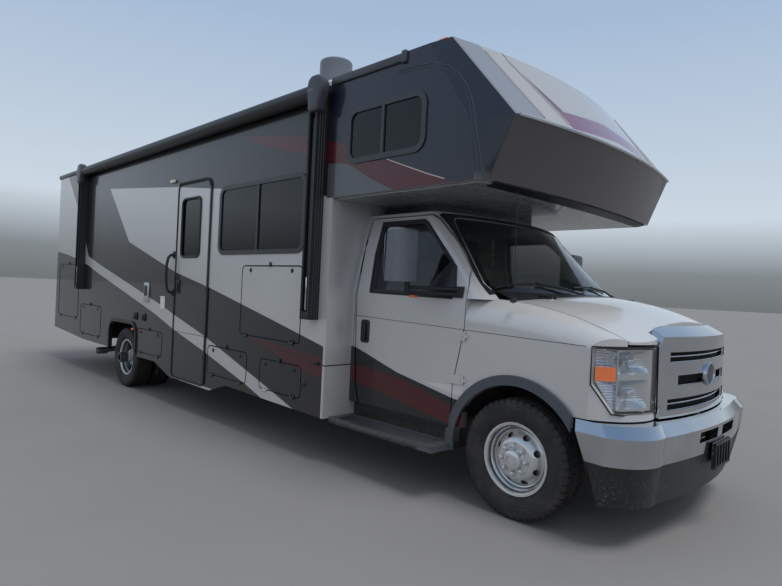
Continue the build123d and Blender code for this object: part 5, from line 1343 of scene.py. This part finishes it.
UPPER_SLOT = (1.030, 1.088, 0.520)
BADGE_SLOT = (0.890, 0.950, 0.430)
LOWER_SLOT = (0.748, 0.815, 0.530)
SLOTS = (UPPER_SLOT, BADGE_SLOT, LOWER_SLOT)
fitted(joined([lattice(*slot) for slot in SLOTS]), "grille_lattice", "coach", "black_plastic",
       black_plastic, 30)
bars = [tube(across_nose(half, (z0 + z1) / 2, 0.014, 0.002), 0.0065, False, 2)
        for z0, z1, half in (UPPER_SLOT, LOWER_SLOT)]
fitted(joined(bars), "grille_bright_bars", "coach", "chrome", chrome, 60)
fitted(joined([slot_lip(*slot) for slot in SLOTS]), "grille_slot_lips", "coach", "chrome", chrome, 60)
edges = [tube(across_nose(0.575, z, 0.001), 0.0055, False, 3) for z in (0.833, 0.872, 0.966, 1.010, 1.104)]
fitted(joined(edges), "grille_bar_edges", "coach", "chrome", chrome, 60)
# Near-black tubes down each side of the grille frame: painted shade in its grooves.
painted_groove_shade = [tube([nose_point(side, 0.592, z, 0.002) for z in (0.730, 0.92, 1.106)], 0.0042)
           for side in (-1, 1)]
fitted(joined(painted_groove_shade), "grille_frame_painted_groove_shade", "coach", "black_plastic", dark_backing, 60)
radiator = sheet(24, 8, lambda u, v: nose_point(2 * u - 1, 0.58, 0.735 + 0.370 * v, 0.068))
fitted(radiator, "radiator_face", "coach", "black_plastic", dark_backing, 30)
BADGE_Z = 0.936
BADGE_STATION = 0.790


def oval(profile):
    """A form turned about the badge's centre, then drawn out wide and low."""
    centre = at(0, 0, BADGE_Z)
    piece = turned(profile, centre, (1, 0, 0), 56)
    edit(piece, kind="VERT")
    bpy.ops.transform.resize(value=(1, 1.12, 0.90), center_override=centre)
    bpy.ops.transform.translate(value=(BADGE_STATION, 0, 0))
    bpy.ops.object.mode_set(mode="OBJECT")
    return piece


ring = oval([(0.066, -0.012), (0.066, 0.004), (0.071, 0.011), (0.079, 0.011), (0.084, 0.004),
             (0.084, -0.012), (0.066, -0.012)])
fitted(ring, "grille_badge_ring", "coach", "chrome", chrome, 40)
disc = oval([(0.0, 0.006), (0.050, 0.005), (0.067, 0.002), (0.067, -0.012), (0.0, -0.012)])
fitted(disc, "grille_badge_face", "coach", "grey_plastic", awning_grey, 40)
SCREW = [(0.0, 0.004), (0.007, 0.003), (0.009, 0.0), (0.009, -0.004), (0.0, -0.004)]
screws = [turned(SCREW, at(0.700, side * 0.600, 1.098), (1, 0, 0), 20) for side in (-1, 1)]
fitted(joined(screws), "grille_screws", "coach", "black_plastic", bare_steel, 40)
backs = [rounded_block(at(0.790, side * 0.189, 0.590), (0.020, 0.310, 0.085), 0.004) for side in (-1, 1)]
fitted(joined(backs), "bumper_slot_backs", "coach", "black_plastic", dark_backing, 40)
BRACKET = 0.887
ribs = [rounded_block(at(BRACKET, y, 0.452), (0.010, 0.018, 0.130), 0.004)
        for y in (-0.140, -0.085, -0.028, 0.028, 0.085, 0.140)]
ribs += [rounded_block(at(BRACKET, 0.0, z), (0.010, 0.300, 0.016), 0.004) for z in (0.386, 0.524)]
fitted(joined(ribs), "plate_bracket_ribs", "coach", "black_plastic", black_plastic, 40)

# %% [markdown]
# Small fittings on the coach's walls: a power inlet, a service flap, two filler caps, amber markers
# at the wheel arches, a spigot and a clip on the skirt, and the tail pipe's sleeve.

# %% Small wall fittings
inlet = wall_block(-4.915, 1.215, 0.010, (0.130, 0.024, 0.230), 0.008)
fitted(inlet, "power_inlet_body", "coach", "grey_plastic", bright_trim, 40)
window = wall_block(-4.915, 1.235, 0.020, (0.085, 0.010, 0.120), 0.004)
fitted(window, "power_inlet_window", "coach", "black_plastic", black_plastic, 40)
flap = wall_block(-4.475, 1.110, 0.003, (0.110, 0.012, 0.150), 0.005)
hinge = tube([on_wall(s, 1.178, 0.010) for s in (-4.525, -4.425)], 0.005)
fitted(joined([flap, hinge]), "service_flap", "coach", "grey_plastic", pale_lens, 40)
FILLER_CAP = [(0.0, 0.016), (0.024, 0.015), (0.030, 0.010), (0.032, 0.0), (0.032, -0.004), (0.0, -0.004)]
caps = []
for s in (-5.235, -4.985):
    caps.append(wall_block(s, 0.915, 0.006, (0.110, 0.016, 0.090), 0.007))
    caps.append(turned(FILLER_CAP, on_wall(s, 0.915, 0.012), (0, -1, 0), 28))
fitted(joined(caps), "water_filler_caps", "coach", "black_plastic", black_plastic, 40)
for tag, side in SIDES.items():
    amber = wall_block(-5.255, 0.752, 0.024, (0.052, 0.018, 0.026), 0.006, side)
    fitted(amber, f"arch_marker_{tag}", "coach", "red_lamp", amber_lens, 40)
SPIGOT = [(0.0, 0.010), (0.022, 0.009), (0.028, 0.005), (0.030, 0.0), (0.0, -0.003)]
spigot = turned(SPIGOT, on_wall(-1.775, 0.600), (0, -1, 0), 28)
clip = wall_block(-1.640, 0.775, 0.006, (0.070, 0.012, 0.028), 0.004)
fitted(joined([spigot, clip]), "skirt_fixings", "coach", "black_plastic", black_plastic, 40)
SLEEVE = [(0.040, 0.0), (0.044, 0.002), (0.046, 0.006), (0.046, 0.130), (0.043, 0.134), (0.040, 0.130),
          (0.040, 0.0)]
sleeve = turned(SLEEVE, at(-6.680, -1.072, 0.335), (0, -1, 0), 36)
fitted(sleeve, "tail_pipe_sleeve", "coach", "bare_steel", bare_steel, 40)

# %% [markdown]
# The cab seats are padded forms: a squab, a back and a head rest, each a rounded block filled out by
# a short cloth simulation under pressure, then given its sewn channels.


# %% Cab seats
PAD_VOXEL = 0.011
CHANNEL_DEPTH = 0.007
CHANNEL_HALF = 0.009
SEAT_Y = 0.480


def pad(size, reach, channels):
    """A block swollen like a stuffed cushion, with sewn channels across its faces."""
    piece = rounded_block((0, 0, 0), size, min(size) * 0.30, 3)
    modified(piece, "REMESH", mode="VOXEL", voxel_size=PAD_VOXEL)
    start = [vertex.co.copy() for vertex in piece.data.vertices]
    take(piece)
    cloth = piece.modifiers.new("Cloth", "CLOTH")
    cloth.settings.use_pressure = True
    cloth.settings.uniform_pressure_force = 4.0
    cloth.settings.effector_weights.gravity = 0.0
    for step in range(1, 21):
        bpy.context.scene.frame_set(step)
    bpy.ops.object.modifier_apply(modifier=cloth.name)
    bpy.context.scene.frame_set(1)
    thin = size.index(min(size))
    for vertex, old in zip(piece.data.vertices, start):
        move = vertex.co - old
        if move.length > reach:
            vertex.co = old + move.normalized() * reach
        for axis, place in channels:
            sunk = CHANNEL_DEPTH * math.exp(-((vertex.co[axis] - place) / CHANNEL_HALF) ** 2)
            vertex.co[thin] -= math.copysign(sunk, vertex.co[thin])
    return modified(piece, "SUBSURF", levels=1)


squab = pad((0.440, 0.440, 0.086), 0.012, [(1, -0.135), (1, 0.135), (0, 0.06)])
back = pad((0.105, 0.440, 0.560), 0.012, [(1, -0.130), (1, 0.130), (2, 0.09), (2, -0.10)])
rest_pad = pad((0.070, 0.230, 0.150), 0.008, [(2, 0.0)])
LEAN = Matrix.Rotation(math.radians(-8.5), 4, "Y")
squab.data.transform(Matrix.Translation(at(-1.090, 0, 1.016)))
back.data.transform(Matrix.Translation(at(-1.278, 0, 1.350)) @ LEAN)
rest_pad.data.transform(Matrix.Translation(at(-1.338, 0, 1.740)))
for tag, side in SIDES.items():
    for form, name in ((squab, "squab"), (back, "back"), (rest_pad, "head_rest")):
        one = copied(form, (0, side * SEAT_Y, 0))
        fitted(one, f"seat_{name}_{tag}", "coach", "seat_fabric", seat_fabric, 60, ["cab_seats"])
    middle = side * SEAT_Y
    carriers = [rounded_block(at(-1.080, middle, 0.858), (0.320, 0.360, 0.204), 0.015),
                rounded_block(at(-1.090, middle, 0.966), (0.430, 0.420, 0.014), 0.005)]
    for y in (middle - 0.060, middle + 0.060):
        carriers.append(tube([at(-1.325, y, 1.600), at(-1.340, y, 1.690)], 0.006))
    fitted(joined(carriers), f"seat_frame_{tag}", "coach", "black_plastic", dash_grey, 40, ["cab_seats"])
for spare in (squab, back, rest_pad):
    bpy.data.objects.remove(spare)

# %% [markdown]
# The stage is a grey floor under a hazy sky, lit by one broad soft lamp from the front and above
# and by an even light all round, so that paint tones come out about as written. Only the camera,
# mirror rays and rays through glass see the sky's own colours. The camera stands where the
# photographer stood, turned by the angles that line up the vehicle's edges.

# %% Floor and sky
rest()
bpy.ops.mesh.primitive_plane_add(size=400, location=(0, 0, 0))
floor = bpy.context.object
floor.name = "studio_floor"
ground = Finish("studio_floor_grey", tone("#717274"), roughness=0.9)
ground.feed(base_color=ground.mix(tone("#6c6d6f"), tone("#757678"), ground.noise(0.8, 4.0)))
floor.data.materials.append(ground.material)

world = bpy.data.worlds.new("studio_sky")
world.use_nodes = True
bpy.context.scene.world = world
nodes, links = world.node_tree.nodes, world.node_tree.links
back = nodes["Background"]
back.inputs["Strength"].default_value = 0.85
back.inputs["Color"].default_value = (0.93, 0.95, 1.0, 1.0)
shown = nodes.new("ShaderNodeBackground")
shown.inputs["Strength"].default_value = 1.0
compass = nodes.new("ShaderNodeTexCoord")
split = nodes.new("ShaderNodeSeparateXYZ")
ramp = nodes.new("ShaderNodeValToRGB")
HAZE = [(0.0, (0.17, 0.185, 0.19)), (0.045, (0.22, 0.245, 0.26)), (0.13, (0.60, 0.68, 0.76)),
        (0.42, (0.38, 0.50, 0.67)), (1.0, (0.20, 0.31, 0.50))]
while len(ramp.color_ramp.elements) < len(HAZE):
    ramp.color_ramp.elements.new(0.5)
for stop, (place, colour) in zip(ramp.color_ramp.elements, HAZE):
    stop.position, stop.color = place, (*colour, 1.0)
links.new(compass.outputs["Object"], split.inputs[0])
links.new(split.outputs[2], ramp.inputs[0])
links.new(ramp.outputs[0], shown.inputs["Color"])
rays = nodes.new("ShaderNodeLightPath")
seen = [rays.outputs[name] for name in ("Is Camera Ray", "Is Glossy Ray", "Is Transmission Ray")]
for _ in range(2):
    either = nodes.new("ShaderNodeMath")
    either.operation = "MAXIMUM"
    links.new(seen.pop(0), either.inputs[0])
    links.new(seen.pop(0), either.inputs[1])
    seen.append(either.outputs[0])
choice = nodes.new("ShaderNodeMixShader")
links.new(seen[0], choice.inputs[0])
links.new(back.outputs[0], choice.inputs[1])
links.new(shown.outputs[0], choice.inputs[2])
links.new(choice.outputs[0], nodes["World Output"].inputs["Surface"])

# %% Lamps
rest()
bpy.ops.object.light_add(type="SUN", location=(6, 3, 9))
sun = bpy.context.object
sun.name = "soft_sun"
sun.data.energy = 2.6
sun.data.color = (1.0, 0.96, 0.89)
sun.visible_glossy = False
sun.data.angle = math.radians(24)
sun.rotation_euler = Vector((-0.42, -0.02, -1.0)).to_track_quat("-Z", "Y").to_euler()

# %% Camera
AZIMUTH, PITCH, ROLL = (math.radians(v) for v in (44.97, 0.22, 2.7))
FOCAL = 26.44
STAND = at(1.922, -4.026, 1.368)
ahead = Vector((-math.sin(AZIMUTH) * math.cos(PITCH), math.cos(AZIMUTH) * math.cos(PITCH), -math.sin(PITCH)))
right = Vector((math.cos(AZIMUTH), math.sin(AZIMUTH), 0))
up = right.cross(ahead)
right_turned = right * math.cos(ROLL) + up * math.sin(ROLL)
up_turned = up * math.cos(ROLL) - right * math.sin(ROLL)
rest()
bpy.ops.object.camera_add(location=(0, 0, 0))
camera = bpy.context.object
camera.data.lens = FOCAL
camera.data.sensor_width = 36
camera.data.clip_end = 500
turn = Matrix((right_turned, up_turned, -ahead)).transposed().to_4x4()
camera.matrix_world = Matrix.Translation(STAND) @ turn
bpy.context.scene.camera = camera
bpy.context.scene.view_settings.view_transform = "Standard"
